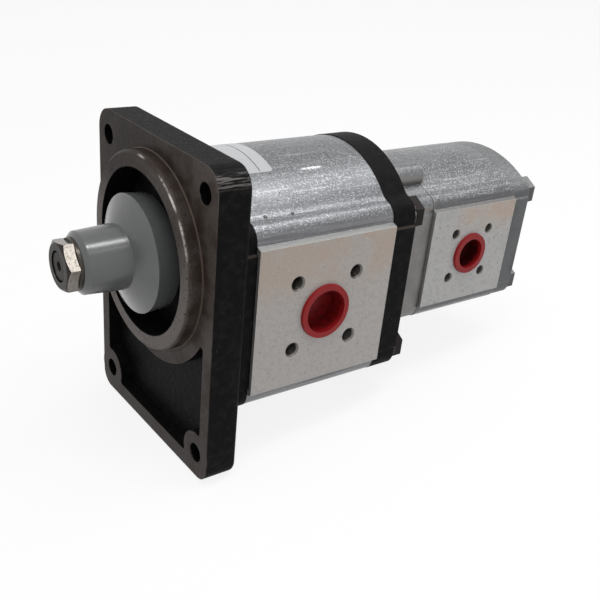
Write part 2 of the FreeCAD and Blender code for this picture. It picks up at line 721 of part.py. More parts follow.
def make_covers():
    """Middle cover, adapter plate and rear cover."""
    middle = new_body("middle_cover", x=middle_cover_start, z=front_middle)
    outline_solid(middle, d.middle_cover_thickness, 0, *COVER_OUTLINE)
    four_holes(middle, "bolt_holes", d.front_bolt_y, d.front_bolt_z, d.front_bolt + d.bolt_play,
               d.middle_cover_thickness, backwards=True)
    opening = new_sketch(middle, "coupling_hole")
    circle(opening, 0, -front_middle, d.sleeve_bore)
    pocket(middle, opening, d.middle_cover_thickness, backwards=True)
    dowel_holes(middle, "dowel_holes", d.front_dowel_y, d.front_dowel_z, 0, True)
    threads = new_sketch(middle, "screw_threads", offset=d.middle_cover_thickness)
    for sign_y in (-1, 1):
        for sign_z in (-1, 1):
            circle(threads, d.screw_y * sign_y, rear_middle - front_middle + d.screw_z * sign_z,
                   d.screw + d.thread_play)
    pocket(middle, threads, d.screw_engagement + d.end_chamfer)

    adapter = new_body("adapter_plate", x=adapter_start, z=rear_middle)
    outline_solid(adapter, d.adapter_thickness, 0, *REAR_COVER_OUTLINE)
    lug = new_sketch(adapter, "lug")
    circle(lug, -d.lug_y, d.lug_z, d.lug_radius)
    lug_pad = pad(adapter, lug, d.adapter_thickness)
    mirror(adapter, "XZ_Plane", [lug_pad])
    opening = new_sketch(adapter, "coupling_hole")
    circle(opening, 0, -rear_middle, d.sleeve_bore)
    pocket(adapter, opening, d.adapter_thickness, backwards=True)
    relief = new_sketch(adapter, "head_relief")
    relief_z = d.front_bolt_z + front_middle - rear_middle
    for sign in (-1, 1):
        circle(relief, d.front_bolt_y * sign, relief_z, d.head_relief)
    pocket(adapter, relief, d.head_relief_depth, backwards=True)
    four_holes(adapter, "threads", d.rear_bolt_y, d.rear_bolt_z, d.rear_bolt + d.thread_play,
               d.rear_bolt_engagement + d.end_chamfer, offset=d.adapter_thickness)
    four_holes(adapter, "screw_holes", d.screw_y, d.screw_z, d.screw + d.bolt_play,
               d.adapter_thickness, backwards=True)
    four_holes(adapter, "counterbores", d.screw_y, d.screw_z, d.screw_head + d.bolt_play,
               d.adapter_thickness - d.screw_seat, offset=d.adapter_thickness)
    dowel_holes(adapter, "dowel_holes", d.rear_dowel_y, d.rear_dowel_z, d.adapter_thickness, False)

    end = new_body("rear_cover", x=end_cover_start, z=rear_middle)
    outline_solid(end, d.end_cover_thickness, 0, *REAR_COVER_OUTLINE)
    four_holes(end, "bolt_holes", d.rear_bolt_y, d.rear_bolt_z, d.rear_bolt + d.bolt_play,
               d.end_cover_thickness, backwards=True)
    dowel_holes(end, "dowel_holes", d.rear_dowel_y, d.rear_dowel_z, 0, True)


def tooth_space(sketch, pitch, tip, root):
    """The gap between two teeth, open at the top: involute flanks on a radial root.

    Each flank is the arc through three points of the involute of the working pitch circle.
    """
    pitch_radius = size(pitch).value / 2
    angle = math.radians(d.pressure_angle.value)
    base = pitch_radius * math.cos(angle)
    outside = size(tip).value + 0.6
    involute = math.tan(angle) - angle
    half_tooth = math.pi / (2 * d.teeth.value) - d.backlash.value / (4 * pitch_radius)

    def half_space(radius):
        working = math.acos(min(1.0, base / radius))
        tooth = half_tooth + involute - (math.tan(working) - working)
        return math.pi / d.teeth.value - tooth

    def flank_point(radius, side, at=None):
        turned = math.pi / 2 + side * half_space(at or radius)
        return Vector(radius * math.cos(turned), radius * math.sin(turned), 0)

    low = size(root).value
    start = max(base, low)
    middle = (start + outside) / 2
    right_root, left_root = flank_point(low, -1, start), flank_point(low, 1, start)
    pieces = [
        Part.Arc(flank_point(start, -1), flank_point(middle, -1), flank_point(outside, -1)),
        Part.Arc(flank_point(outside, -1), Vector(0, outside, 0), flank_point(outside, 1)),
        Part.Arc(flank_point(outside, 1), flank_point(middle, 1), flank_point(start, 1)),
        Part.LineSegment(flank_point(start, 1), left_root),
        Part.Arc(left_root, Vector(0, low, 0), right_root),
        Part.LineSegment(right_root, flank_point(start, -1))]
    for piece in pieces:
        index = sketch.addGeometry(piece, False)
        sketch.addConstraint(Sketcher.Constraint("Block", index))


def cut_teeth(body, pitch, tip, root, start, width, phase):
    """Cut all the tooth spaces. phase is 0 for a gap straight up and 1 for a tooth there."""
    sketch = new_sketch(body, "tooth_space", offset=start)
    sketch.AttachmentOffset.Rotation = FreeCAD.Rotation()
    tooth_space(sketch, pitch, tip, root)
    bind(sketch, "AttachmentOffset.Rotation.Angle", size(phase) * 180 / d.teeth)
    first = pocket(body, sketch, width, backwards=True)
    around_shaft(body, [first], d.teeth, False)


def spline_teeth(body, start, length):
    """The teeth of a splined end, added round its core."""
    sketch = new_sketch(body, "spline", offset=start)
    rectangle(sketch, -d.spline_tooth / 2, d.spline_root / 2, d.spline_tooth / 2, d.spline_tip)
    first = pad(body, sketch, length)
    around_shaft(body, [first], d.spline_teeth, True)


def gear_width(length, block):
    return length - block * 2 - d.side_clearance * 4


def make_drive_shaft():
    """Front drive gear in one piece with the shaft: thread, 1:5 taper, seal land, gear, spline."""
    body = new_body("drive_shaft")
    taper_end = d.taper_start + d.taper_length
    thin = d.shaft_radius - d.taper_length * d.taper_rate
    tip_x = -(taper_end + d.thread_length)
    gear_start = front_body_start + d.front_block + d.side_clearance * 2
    gear_end = gear_start + gear_width(d.front_body_length, d.front_block)
    journal_end = middle_cover_start - d.journal_gap
    land_end = d.seal_bottom + d.shaft_land
    widening = (d.front_journal - d.shaft_radius) * 2
    turn(body, "blank", [
        (tip_x + d.centre_hole * 2, 0), (tip_x, d.centre_hole),
        (tip_x, d.thread_radius - d.end_chamfer), (tip_x + d.end_chamfer, d.thread_radius),
        (-taper_end, d.thread_radius), (-taper_end, thin), (-d.taper_start, d.shaft_radius),
        (land_end, d.shaft_radius), (land_end + widening, d.front_journal),
        (gear_start, d.front_journal), (gear_start, d.front_tip), (gear_end, d.front_tip),
        (gear_end, d.front_journal), (journal_end, d.front_journal),
        (journal_end, d.spline_root), (journal_end + d.spline_length, d.spline_root),
        (journal_end + d.spline_length, 0)])
    width = gear_width(d.front_body_length, d.front_block)
    cut_teeth(body, d.front_pitch, d.front_tip, d.front_root, gear_start, width, 1)
    spline_teeth(body, journal_end, d.spline_length)
    keyway = new_sketch(body, "keyway", "XZ_Plane")
    circle(keyway, -key_place, key_centre, d.key_radius)
    pocket(body, keyway, d.key_width + d.seat_clearance * 2, both_sides=True)


# The key's round side sits halfway along the taper, and its flat top stands above it
key_place = d.taper_start + d.taper_length / 2
taper_at_key = d.shaft_radius - (key_place - d.taper_start) * d.taper_rate
key_centre = taper_at_key + d.key_stand


def make_key():
    """Half-moon key: a disc of key_radius cut flat above the taper."""
    body = new_body("shaft_key", x=-key_place, z=key_centre)
    disc = new_sketch(body, "disc", "XZ_Plane")
    circle(disc, 0, 0, d.key_radius - d.seat_clearance)
    pad(body, disc, d.key_width, both_sides=True)
    top = new_sketch(body, "top", "XZ_Plane")
    rectangle(top, -d.key_radius * 2, 0, d.key_radius * 2, d.key_radius * 2)
    pocket(body, top, d.key_width * 2, both_sides=True)


def make_gear_set(stage, start, middle, length, pitch, tip, root, journal, block):
    """Bearing blocks, bushes, driven gear and seals of one pump."""
    bore = tip + d.tip_clearance - d.seat_clearance
    bush_radius = journal + d.running_fit + d.bush_wall
    block_places = (("front", start + d.side_clearance),
                    ("rear", start + length - block - d.side_clearance))
    for end, place in block_places:
        body = new_body("%s_pump_%s_bearing" % (stage, end), x=place, z=middle)
        upper = new_sketch(body, "upper")
        circle(upper, 0, pitch / 2, bore)
        upper_pad = pad(body, upper, block)
        mirror(body, "XY_Plane", [upper_pad])
        hole = new_sketch(body, "bush_hole")
        circle(hole, 0, pitch / 2, bush_radius)
        hole_cut = pocket(body, hole, block, backwards=True)
        mirror(body, "XY_Plane", [hole_cut])
        outer_face = 0 if end == "front" else block
        groove = new_sketch(body, "balance_groove", offset=outer_face)
        balance_ring(groove, pitch, 0)
        ring_cut = pocket(body, groove, d.balance_depth, backwards=(end == "front"))
        mirror(body, "XY_Plane", [ring_cut])
        gear_face = block if end == "front" else 0
        relief = new_sketch(body, "relief", offset=gear_face)
        for sign in (-1, 1):
            centre_y = pitch * (0.19 * sign)
            rectangle(relief, centre_y - pitch * 0.07, -pitch * 0.08,
                      centre_y + pitch * 0.07, pitch * 0.08)
        pocket(body, relief, d.balance_depth, backwards=(end == "rear"))

    bushes = new_body("%s_pump_bushes" % stage, z=middle)
    for end, place in block_places:
        rings = new_sketch(bushes, end + "_rings", offset=place + 1)
        for sign in (-1, 1):
            circle(rings, 0, pitch * (0.5 * sign), bush_radius)
            circle(rings, 0, pitch * (0.5 * sign), journal + d.running_fit)
        pad(bushes, rings, block - 2)

    seals = new_body("%s_body_seals" % stage, z=middle)
    inner = tip + d.tip_clearance + d.gland_offset
    for end, offset in (("front", start), ("rear", start + length - d.gland_depth)):
        loop = new_sketch(seals, end + "_loop", offset=offset)
        slot(loop, pitch / 2, inner + d.seat_clearance)
        slot(loop, pitch / 2, inner + d.gland_width - d.seat_clearance)
        pad(seals, loop, d.gland_depth)

    balance = new_body("%s_balance_seals" % stage, z=middle)
    for (end, place), offset in zip(block_places, (0, block - d.balance_depth)):
        loop = new_sketch(balance, end + "_loop", offset=place + offset)
        balance_ring(loop, pitch, d.seat_clearance)
        ring = pad(balance, loop, d.balance_depth)
        mirror(balance, "XY_Plane", [ring])

    driven = new_body("%s_driven_gear" % stage, x=start, z=-pitch)
    gear_start = block + d.side_clearance * 2
    gear_end = gear_start + gear_width(length, block)
    turn(driven, "blank", [
        (d.side_clearance * 2 + 0.5, 0), (d.side_clearance * 2 + 0.5, journal), (gear_start, journal),
        (gear_start, tip), (gear_end, tip), (gear_end, journal),
        (length - d.side_clearance * 2 - 0.5, journal), (length - d.side_clearance * 2 - 0.5, 0)])
    cut_teeth(driven, pitch, tip, root, gear_start, gear_width(length, block), 0)


def balance_ring(sketch, pitch, play):
    """Half of the seal on a bearing block: a ring round one gear axis.

    It reaches just past the middle, where it runs into the ring round the other axis.
    """
    outer = pitch / 2 + d.balance_overlap
    circle(sketch, 0, pitch / 2, outer - play)
    circle(sketch, 0, pitch / 2, outer - d.balance_width + play)


def make_rear_drive_gear():
    """Rear drive gear with its journals and a splined front end."""
    body = new_body("rear_drive_gear", x=rear_body_start)
    gear_start = d.rear_block + d.side_clearance * 2
    width = gear_width(d.rear_body_length, d.rear_block)
    gear_end = gear_start + width
    stub_end = size(1)
    turn(body, "blank", [
        (stub_end - d.spline_length, 0), (stub_end - d.spline_length, d.spline_root),
        (stub_end, d.spline_root), (stub_end, d.rear_journal), (gear_start, d.rear_journal),
        (gear_start, d.rear_tip), (gear_end, d.rear_tip), (gear_end, d.rear_journal),
        (d.rear_body_length - 1, d.rear_journal), (d.rear_body_length - 1, 0)])
    cut_teeth(body, d.rear_pitch, d.rear_tip, d.rear_root, gear_start, width, 1)
    spline_teeth(body, stub_end - d.spline_length, d.spline_length)


def make_coupling():
    """Splined sleeve between the front shaft and the rear drive gear."""
    middle = (middle_cover_start + rear_body_start) / 2
    body = new_body("coupling_sleeve", x=middle - d.sleeve_length / 2)
    ring = new_sketch(body, "ring")
    circle(ring, 0, 0, d.sleeve_radius)
    circle(ring, 0, 0, d.spline_root + d.seat_clearance)
    pad(body, ring, d.sleeve_length)
    groove = new_sketch(body, "spline")
    rectangle(groove, -(d.spline_tooth / 2 + d.seat_clearance), d.spline_root / 2,
              d.spline_tooth / 2 + d.seat_clearance, d.spline_tip + d.seat_clearance)
    first = pocket(body, groove, d.sleeve_length, backwards=True)
    around_shaft(body, [first], d.spline_teeth, False)


def make_shaft_seal():
    """Shaft seal and the retaining ring in front of it."""
    body = new_body("shaft_seal")
    lip = d.shaft_radius + d.running_fit
    wall_end = circlip_end + d.seal_wall
    lip_end = d.seal_bottom - d.seal_wall / 2
    turn(body, "section", [
        (circlip_end, lip + d.seal_wall * 1.5), (circlip_end, d.seal_radius),
        (d.seal_bottom, d.seal_radius), (d.seal_bottom, d.seal_radius - d.seal_wall),
        (wall_end, d.seal_radius - d.seal_wall), (wall_end, lip + d.seal_wall),
        (lip_end, lip + d.seal_wall), (lip_end, lip), (wall_end, lip)])
    ring = new_body("seal_retaining_ring", x=circlip_start)
    profile = new_sketch(ring, "ring")
    circle(profile, 0, 0, d.circlip_radius - d.seat_clearance)
    circle(profile, 0, 0, d.circlip_inner)
    pad(ring, profile, d.circlip_width)
    gap = new_sketch(ring, "gap")
    rectangle(gap, -d.circlip_gap / 2, 0, d.circlip_gap / 2, d.circlip_radius * 1.1)
    pocket(ring, gap, d.circlip_width, backwards=True)


def make_shaft_guard():
    """Moulded guard over the taper: a sleeve that widens into a cupped disc."""
    body = new_body("shaft_guard")
    end = -(d.taper_start + d.taper_length)
    face = end - d.guard_end_wall
    hole = d.thread_radius + d.seat_clearance * 2
    sleeve_inside = d.guard_sleeve_end - d.guard_wall
    front = -d.guard_disc_front
    root = -d.guard_sleeve_root
    turn(body, "section", [
        (face, hole), (face, d.guard_sleeve_end - d.guard_chamfer),
        (face + d.guard_chamfer, d.guard_sleeve_end), (root, d.guard_sleeve),
        (front, d.guard_disc), (-d.guard_disc_back, d.guard_disc - 1),
        (-d.guard_disc_back, d.guard_disc - 1 - d.guard_wall),
        (front + d.guard_wall, d.guard_disc - d.guard_wall), (root + d.guard_wall, sleeve_inside),
        (end, sleeve_inside), (end, hole)])


def make_shaft_nut():
    """Washer and thin hexagon nut at the end of the shaft."""
    face = -(d.taper_start + d.taper_length + d.guard_end_wall)
    washer = new_body("shaft_washer", x=face - d.washer_thickness)
    ring = new_sketch(washer, "ring")
    circle(ring, 0, 0, d.washer_radius)
    circle(ring, 0, 0, d.thread_radius + d.bolt_play)
    pad(washer, ring, d.washer_thickness)
    nut = new_body("shaft_nut", x=face - d.washer_thickness - d.nut_thickness)
    outline = new_sketch(nut, "hexagon")
    hexagon(outline, 0, 0, d.nut_flats)
    circle(outline, 0, 0, d.thread_radius + d.thread_play)
    pad(nut, outline, d.nut_thickness)
    corner = d.nut_flats / 2 / math.cos(math.radians(30))
    slope = corner - d.nut_flats * 0.475
    turn(nut, "corner_bevel", [
        (-1, corner - slope - slope), (-1, corner + 1), (slope * 0.58, corner + 1),
        (slope * 0.58, corner), (0, corner - slope)], cut=True)
    bind(nut, "Placement.Rotation.Angle", d.nut_turn)
    nut.Placement.Rotation = FreeCAD.Rotation(Vector(1, 0, 0), d.nut_turn.value)


def make_bolts(label, head_x, middle, radius, flats, head, shank, half_y, half_z):
    """Four hexagon bolts: one at a corner, mirrored across and up."""
    body = new_body(label, x=head_x, z=middle)
    outline = new_sketch(body, "head")
    hexagon(outline, -half_y, half_z, flats, 90)
    pad(body, outline, head)
    round_shank = new_sketch(body, "shank")
    circle(round_shank, -half_y, half_z, radius)
    pad(body, round_shank, shank, backwards=True)
    dress(body, "Chamfer", "Size", d.end_chamfer, lambda edge: round_edge(edge, radius, -shank))
    mirror(body, "XZ_Plane")
    mirror(body, "XY_Plane")


def make_fasteners():
    """Bolts, washers, screws and dowels."""
    washers = new_body("front_bolt_washers", x=adapter_start, z=front_middle)
    ring = new_sketch(washers, "ring")
    circle(ring, -d.front_bolt_y, d.front_bolt_z, d.front_washer)
    circle(ring, -d.front_bolt_y, d.front_bolt_z, d.front_bolt + d.bolt_play)
    pad(washers, ring, d.front_washer_thickness)
    mirror(washers, "XZ_Plane")
    mirror(washers, "XY_Plane")
    grip = d.front_washer_thickness + d.middle_cover_thickness + d.front_body_length
    make_bolts("front_bolts", adapter_start + d.front_washer_thickness, front_middle, d.front_bolt,
               d.front_bolt_flats, d.front_bolt_head, grip + d.front_bolt_engagement,
               d.front_bolt_y, d.front_bolt_z)
    make_bolts("rear_bolts", end_cover_end, rear_middle, d.rear_bolt, d.rear_bolt_flats,
               d.rear_bolt_head,
               d.end_cover_thickness + d.rear_body_length + d.rear_bolt_engagement,
               d.rear_bolt_y, d.rear_bolt_z)

    screws = new_body("adapter_screws", x=adapter_start + d.screw_seat, z=rear_middle)
    head = new_sketch(screws, "head")
    circle(head, -d.screw_y, d.screw_z, d.screw_head)
    pad(screws, head, d.screw_head_height)
    shank = new_sketch(screws, "shank")
    circle(shank, -d.screw_y, d.screw_z, d.screw)
    pad(screws, shank, d.screw_seat + d.screw_engagement, backwards=True)
    socket = new_sketch(screws, "socket", offset=d.screw_head_height)
    hexagon(socket, -d.screw_y, d.screw_z, d.screw_socket)
    pocket(screws, socket, d.screw_head_height / 2)
    mirror(screws, "XZ_Plane")
    mirror(screws, "XY_Plane")

    for label, joints, middle, y, z in (
            ("front_dowels", (front_body_start, middle_cover_start), front_middle,
             d.front_dowel_y, d.front_dowel_z),
            ("rear_dowels", (rear_body_start, end_cover_start), rear_middle,
             d.rear_dowel_y, d.rear_dowel_z)):
        dowels = new_body(label, z=middle)
        for index, joint in enumerate(joints):
            pins = new_sketch(dowels, "pins_%d" % index, offset=joint - d.dowel_depth)
            circle(pins, y, z, d.dowel)
            circle(pins, -y, -z, d.dowel)
            pad(dowels, pins, d.dowel_depth * 2)


def make_plug(label, side, face_y, x, middle, mouth, mouth_depth, rim, wall):
    """Moulded port plug: a cup pushed into the port, with a rim on the port face."""
    body = new_body(label, x=x, y=size(face_y) * side, z=middle)
    outside = mouth - d.plug_fit
    inside = outside - wall
    depth = mouth_depth - 2
    turn(body, "section", [
        (0, -depth), (outside - 0.6, -depth), (outside, 0), (rim, 0), (rim - 0.3, d.plug_rim_height),
        (inside, d.plug_rim_height), (inside - 0.5, wall - depth), (0, wall - depth)],
        axis="V_Axis")
    body.Placement.Rotation = FreeCAD.Rotation(Vector(1, 0, 0), -90 * side)


make_front_cover()
make_body("front_body", front_body_start, front_middle, d.front_body_length, FRONT_OUTLINE,
          d.front_pitch, d.front_tip, d.front_bolt, d.front_bolt_y, d.front_bolt_z,
          d.front_dowel_y, d.front_dowel_z, d.front_port, d.front_port_depth,
          d.front_port_throat, d.front_port_pitch, d.front_port_screw, d.front_port_screw_depth,
          d.front_port_countersink)
make_body("rear_body", rear_body_start, rear_middle, d.rear_body_length, REAR_OUTLINE,
          d.rear_pitch, d.rear_tip, d.rear_bolt, d.rear_bolt_y, d.rear_bolt_z,
          d.rear_dowel_y, d.rear_dowel_z, d.rear_port, d.rear_port_depth,
          d.rear_port_throat, d.rear_port_pitch, d.rear_port_screw, d.rear_port_screw_depth,
          d.rear_port_countersink)
make_covers()
make_drive_shaft()
make_key()
make_gear_set("front", front_body_start, front_middle, d.front_body_length, d.front_pitch,
              d.front_tip, d.front_root, d.front_journal, d.front_block)
make_gear_set("rear", rear_body_start, rear_middle, d.rear_body_length, d.rear_pitch,
              d.rear_tip, d.rear_root, d.rear_journal, d.rear_block)
make_rear_drive_gear()
make_coupling()
make_shaft_seal()
make_shaft_guard()
make_shaft_nut()
make_fasteners()
for side, name in ((-1, "right"), (1, "left")):
    make_plug("front_port_plug_" + name, side, d.front_face_y,
              front_body_start + d.front_body_length / 2, front_middle, d.front_port,
              d.front_port_depth, d.front_plug_rim, d.front_plug_wall)
    make_plug("rear_port_plug_" + name, side, d.rear_face_y,
              rear_body_start + d.rear_body_length / 2, rear_middle, d.rear_port,
              d.rear_port_depth, d.rear_plug_rim, d.rear_plug_wall)

doc.recompute()
os.makedirs("parts", exist_ok=True)
for item in doc.Objects:
    if "Invalid" in item.State or "Error" in item.State:
        raise RuntimeError("%s did not recompute" % item.Name)
for node in nodes:
    if node.Shape.isNull() or not node.Shape.isValid():
        raise RuntimeError("%s has no valid shape" % node.Label)
for node in nodes:
    node.Shape.exportStep("parts/%s.step" % node.Label)
    print("%-28s %6.1f cm3, %d solids" % (node.Label, node.Shape.Volume / 1000,
                                         len(node.Shape.Solids)))
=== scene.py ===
import math
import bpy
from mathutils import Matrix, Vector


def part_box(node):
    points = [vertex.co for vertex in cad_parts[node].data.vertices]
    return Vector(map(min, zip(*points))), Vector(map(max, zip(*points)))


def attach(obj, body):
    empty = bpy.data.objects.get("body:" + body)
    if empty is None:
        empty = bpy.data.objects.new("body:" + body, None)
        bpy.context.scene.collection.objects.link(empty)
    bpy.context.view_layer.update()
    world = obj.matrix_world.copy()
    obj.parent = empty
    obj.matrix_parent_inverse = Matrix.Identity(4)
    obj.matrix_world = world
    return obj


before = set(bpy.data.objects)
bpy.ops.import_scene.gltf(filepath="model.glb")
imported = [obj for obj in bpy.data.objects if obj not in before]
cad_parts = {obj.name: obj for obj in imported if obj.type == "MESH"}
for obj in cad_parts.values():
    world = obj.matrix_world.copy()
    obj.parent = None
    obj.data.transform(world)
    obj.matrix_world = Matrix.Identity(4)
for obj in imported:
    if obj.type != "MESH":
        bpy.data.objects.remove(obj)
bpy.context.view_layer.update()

from types import SimpleNamespace

import bmesh
import bpy
from mathutils import Matrix, Vector

# Tandem gear pump, in metres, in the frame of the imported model: X along the shaft towards the
# rear pump, +Z up, and the origin on the shaft axis in the flange's mounting face.

MM = 0.001


# The two pumps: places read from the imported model, sizes of the screw holes, and colours

def middle(node):
    low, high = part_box(node)
    return (low + high) / 2


FRONT = SimpleNamespace(
    name="front",
    port=middle("front_port_plug_right"),
    face=-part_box("front_body")[0].y,       # port face, from the middle plane
    ridge=54 * MM,                         # beyond it, the ledge up to the port face
    square=38.89 * MM,                     # side of the square of port screws
    hole=3.4 * MM,                         # core radius of their threads
    pitch=1.25 * MM,
    sink=1.1 * MM,                         # depth of their countersinks
    skin=(114, 115, 117),
    # painted light on the skin's upright sides
    sparkle=0.65,
    side=(122, 122, 124),
    # painted light on the ledge
    ledge_light=(160, 160, 159),
    milled=(162, 158, 155),
    crackle=(150, 146, 142),
    crackle_share=0.5,
    beige=(164, 150, 139),
    beige_from=2 * MM,                     # above the port
    beige_full=30 * MM)
REAR = SimpleNamespace(
    name="rear",
    port=middle("rear_port_plug_right"),
    face=-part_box("rear_body")[0].y,
    ridge=44.8 * MM,
    square=28.28 * MM,
    hole=2.5 * MM,
    pitch=1.0 * MM,
    sink=0.8 * MM,
    skin=(108, 108, 109),
    sparkle=0.9,
    # painted light on the skin's upright sides
    side=(96, 96, 97),
    # painted light on the ledge
    ledge_light=(112, 111, 110),
    milled=(165, 164, 163),
    crackle=(154, 153, 153),
    crackle_share=0.55,
    beige=(170, 153, 140),
    beige_from=8 * MM,
    beige_full=24 * MM)
REAR_BEIGE_START = 172 * MM                # along the shaft
REAR_BEIGE_END = 192 * MM

SKIN_DEPTH = 0.1 * MM                      # what lies deeper than this isn't the port face
FRONT_LOBE = 56.68 * MM                    # radius of the front body over the shaft
FRONT_LOBE_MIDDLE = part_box("front_body")[1].z - FRONT_LOBE
SPIGOT_BORE = 44 * MM                      # radius
SPIGOT_RADIUS = 52.5 * MM
SPIGOT_FRONT = -7.5 * MM
CHAMFER_WIDTH = 1.7 * MM
FLANGE_BACK = 18.8 * MM
FLANGE_HOLE = Vector((0, 51, 72.5)) * MM   # from the middle of the flange
FLANGE_HOLE_RADIUS = 5.6 * MM
MIDDLE_COVER_SHELF = 53.9 * MM             # the shelf lies beyond it on both sides

# Where glints are painted on the spigot's chamfer: from and to, degrees from the top, and how much
PAINTED_GLINTS = ((-1, 5, 0.6), (24, 35, 0.45), (36, 46, 1.0), (53, 60, 0.9), (60, 73, 0.5))
PAINTED_GLINT_FADE = math.radians(2.5)
# Marks on the front lobe: x, degrees from the top, half sizes in mm and degrees, colour
LOBE_MARKS = (
    (80, 26.3, 7.5, 0.9, (226, 226, 226)), (98, 8, 1.2, 1.0, (92, 90, 88)),
    (39.2, 51, 1.3, 1.2, (60, 58, 56)), (55.5, 51.7, 1.1, 1.0, (62, 60, 58)),
    (96, 19, 0.7, 4.5, (96, 95, 94)), (90.5, 25.5, 0.7, 3.0, (108, 107, 106)))


# Colours, written as the eye reads them, from 0 to 255

def srgb(red, green, blue):
    """A colour as the linear values that a shader takes."""
    parts = [value / 255 for value in (red, green, blue)]
    return tuple(p / 12.92 if p <= 0.04045 else ((p + 0.055) / 1.055) ** 2.4 for p in parts) + (1.0,)


def shifted(colour, step):
    """The colour made lighter by step, or darker where step is negative."""
    return tuple(min(255, value + step) for value in colour)


def dimmed(colour, share):
    return tuple(int(value * share) for value in colour)


# How a material is built up

class Finish:
    """A node material that is laid on in steps, each by the surface's own place."""

    def __init__(self, name, colour, rough, metal=0.0, specular=0.5):
        self.material = bpy.data.materials.new(name)
        self.material.use_nodes = True
        self.tree = self.material.node_tree
        self.shader = self.tree.nodes["Principled BSDF"]
        self.shader.inputs["Base Color"].default_value = srgb(*colour)
        self.shader.inputs["Roughness"].default_value = rough
        self.shader.inputs["Metallic"].default_value = metal
        self.shader.inputs["Specular IOR Level"].default_value = specular
        self.colour = None
        self.normal = None
        self.place = self.add("ShaderNodeTexCoord").outputs["Object"]
        axes = self.add("ShaderNodeSeparateXYZ")
        self.join(self.place, axes.inputs[0])
        self.x, self.y, self.z = axes.outputs

    def add(self, kind, **settings):
        node = self.tree.nodes.new(kind)
        for key, value in settings.items():
            setattr(node, key, value)
        return node

    def join(self, source, socket):
        """Link a socket, or set it where the source is a plain value."""
        if isinstance(source, bpy.types.NodeSocket):
            self.tree.links.new(source, socket)
        else:
            socket.default_value = source

    def math(self, operation, first, second=0.0):
        node = self.add("ShaderNodeMath", operation=operation)
        self.join(first, node.inputs[0])
        self.join(second, node.inputs[1])
        return node.outputs[0]

    def all_of(self, first, *others):
        """Where all the masks hold."""
        for other in others:
            first = self.math("MULTIPLY", first, other)
        return first

    def any_of(self, first, *others):
        """Where one of the masks holds."""
        for other in others:
            first = self.math("MAXIMUM", first, other)
        return first

    def ramp(self, value, low, high, start=0.0, end=1.0):
        """From start to end as the value goes from low to high, with soft ends."""
        node = self.add("ShaderNodeMapRange", interpolation_type="SMOOTHSTEP")
        for source, socket in zip((value, low, high, start, end), node.inputs):
            self.join(source, socket)
        return node.outputs[0]

    def between(self, value, low, high, soft):
        """A mask that holds from low to high and fades over soft each side of both."""
        rise = self.ramp(value, low - soft, low + soft)
        return self.all_of(rise, self.ramp(value, high - soft, high + soft, 1.0, 0.0))

    def stretched(self, stretch):
        """The surface's place, for a pattern that is drawn out by these factors."""
        node = self.add("ShaderNodeMapping", vector_type="TEXTURE")
        self.join(self.place, node.inputs["Vector"])
        node.inputs["Scale"].default_value = stretch
        return node.outputs[0]

    def noise(self, size, detail=2.0, stretch=None, rough=0.5):
        """Soft noise whose blobs are about size metres across."""
        node = self.add("ShaderNodeTexNoise")
        self.join(self.stretched(stretch) if stretch else self.place, node.inputs["Vector"])
        node.inputs["Scale"].default_value = 0.5 / size
        node.inputs["Detail"].default_value = detail
        node.inputs["Roughness"].default_value = rough
        return node.outputs[0]

    def grains(self, size):
        """Crystals or specks about size metres across, each with a random value."""
        node = self.add("ShaderNodeTexVoronoi")
        self.join(self.place, node.inputs["Vector"])
        node.inputs["Scale"].default_value = 1 / size
        split = self.add("ShaderNodeSeparateColor")
        self.join(node.outputs["Color"], split.inputs[0])
        return split.outputs[0]

    def facing(self):
        """The surface's own direction, as three numbers."""
        split = self.add("ShaderNodeSeparateXYZ")
        self.join(self.add("ShaderNodeNewGeometry").outputs["Normal"], split.inputs[0])
        return split.outputs

    def length(self, first, second):
        """The length of a flat vector."""
        squares = [self.math("POWER", part, 2.0) for part in (first, second)]
        return self.math("SQRT", self.math("ADD", *squares))

    def radius(self):
        """Distance from the shaft axis."""
        return self.length(self.y, self.z)

    def rings(self, size):
        """Turning marks round the shaft axis."""
        node = self.add("ShaderNodeTexNoise", noise_dimensions="1D")
        self.join(self.math("MULTIPLY", self.radius(), 0.5 / size), node.inputs["W"])
        node.inputs["Scale"].default_value = 1.0
        node.inputs["Detail"].default_value = 3.0
        return node.outputs[0]

    def angle(self, centre_z):
        """Angle round an axis along X, from +Z towards -Y."""
        away = self.math("MULTIPLY", self.y, -1.0)
        return self.math("ARCTAN2", away, self.math("SUBTRACT", self.z, centre_z))

    def spot(self, first, at_first, half_first, second, at_second, half_second):
        """A soft oval spot, given by its middle and half its length each way."""
        one = self.math("DIVIDE", self.math("SUBTRACT", first, at_first), half_first)
        two = self.math("DIVIDE", self.math("SUBTRACT", second, at_second), half_second)
        square = self.math("ADD", self.math("POWER", one, 2.0), self.math("POWER", two, 2.0))
        return self.ramp(square, 0.5, 1.2, 1.0, 0.0)

    def folded(self, axis, centre, half):
        """How far along an axis from the nearer of two places, half each side of the centre."""
        away = self.math("ABSOLUTE", self.math("SUBTRACT", axis, centre))
        return self.math("SUBTRACT", away, half)

    def screw_holes(self, pump, radius, depth):
        """The walls of the four screw holes round a port, deeper than depth below its face."""
        across = self.length(self.folded(self.x, pump.port.x, pump.square / 2),
                             self.folded(self.z, pump.port.z, pump.square / 2))
        deep = self.math("LESS_THAN", self.math("ABSOLUTE", self.y), pump.face - depth)
        return self.all_of(self.math("LESS_THAN", across, radius + 0.15 * MM), deep)

    def flange_holes(self):
        """The walls of the four holes in the flange."""
        across = self.length(self.folded(self.y, 0.0, FLANGE_HOLE.y),
                             self.folded(self.z, FRONT.port.z, FLANGE_HOLE.z))
        inside = self.math("LESS_THAN", across, FLANGE_HOLE_RADIUS)
        return self.all_of(inside, self.math("GREATER_THAN", self.x, 0.6 * MM))

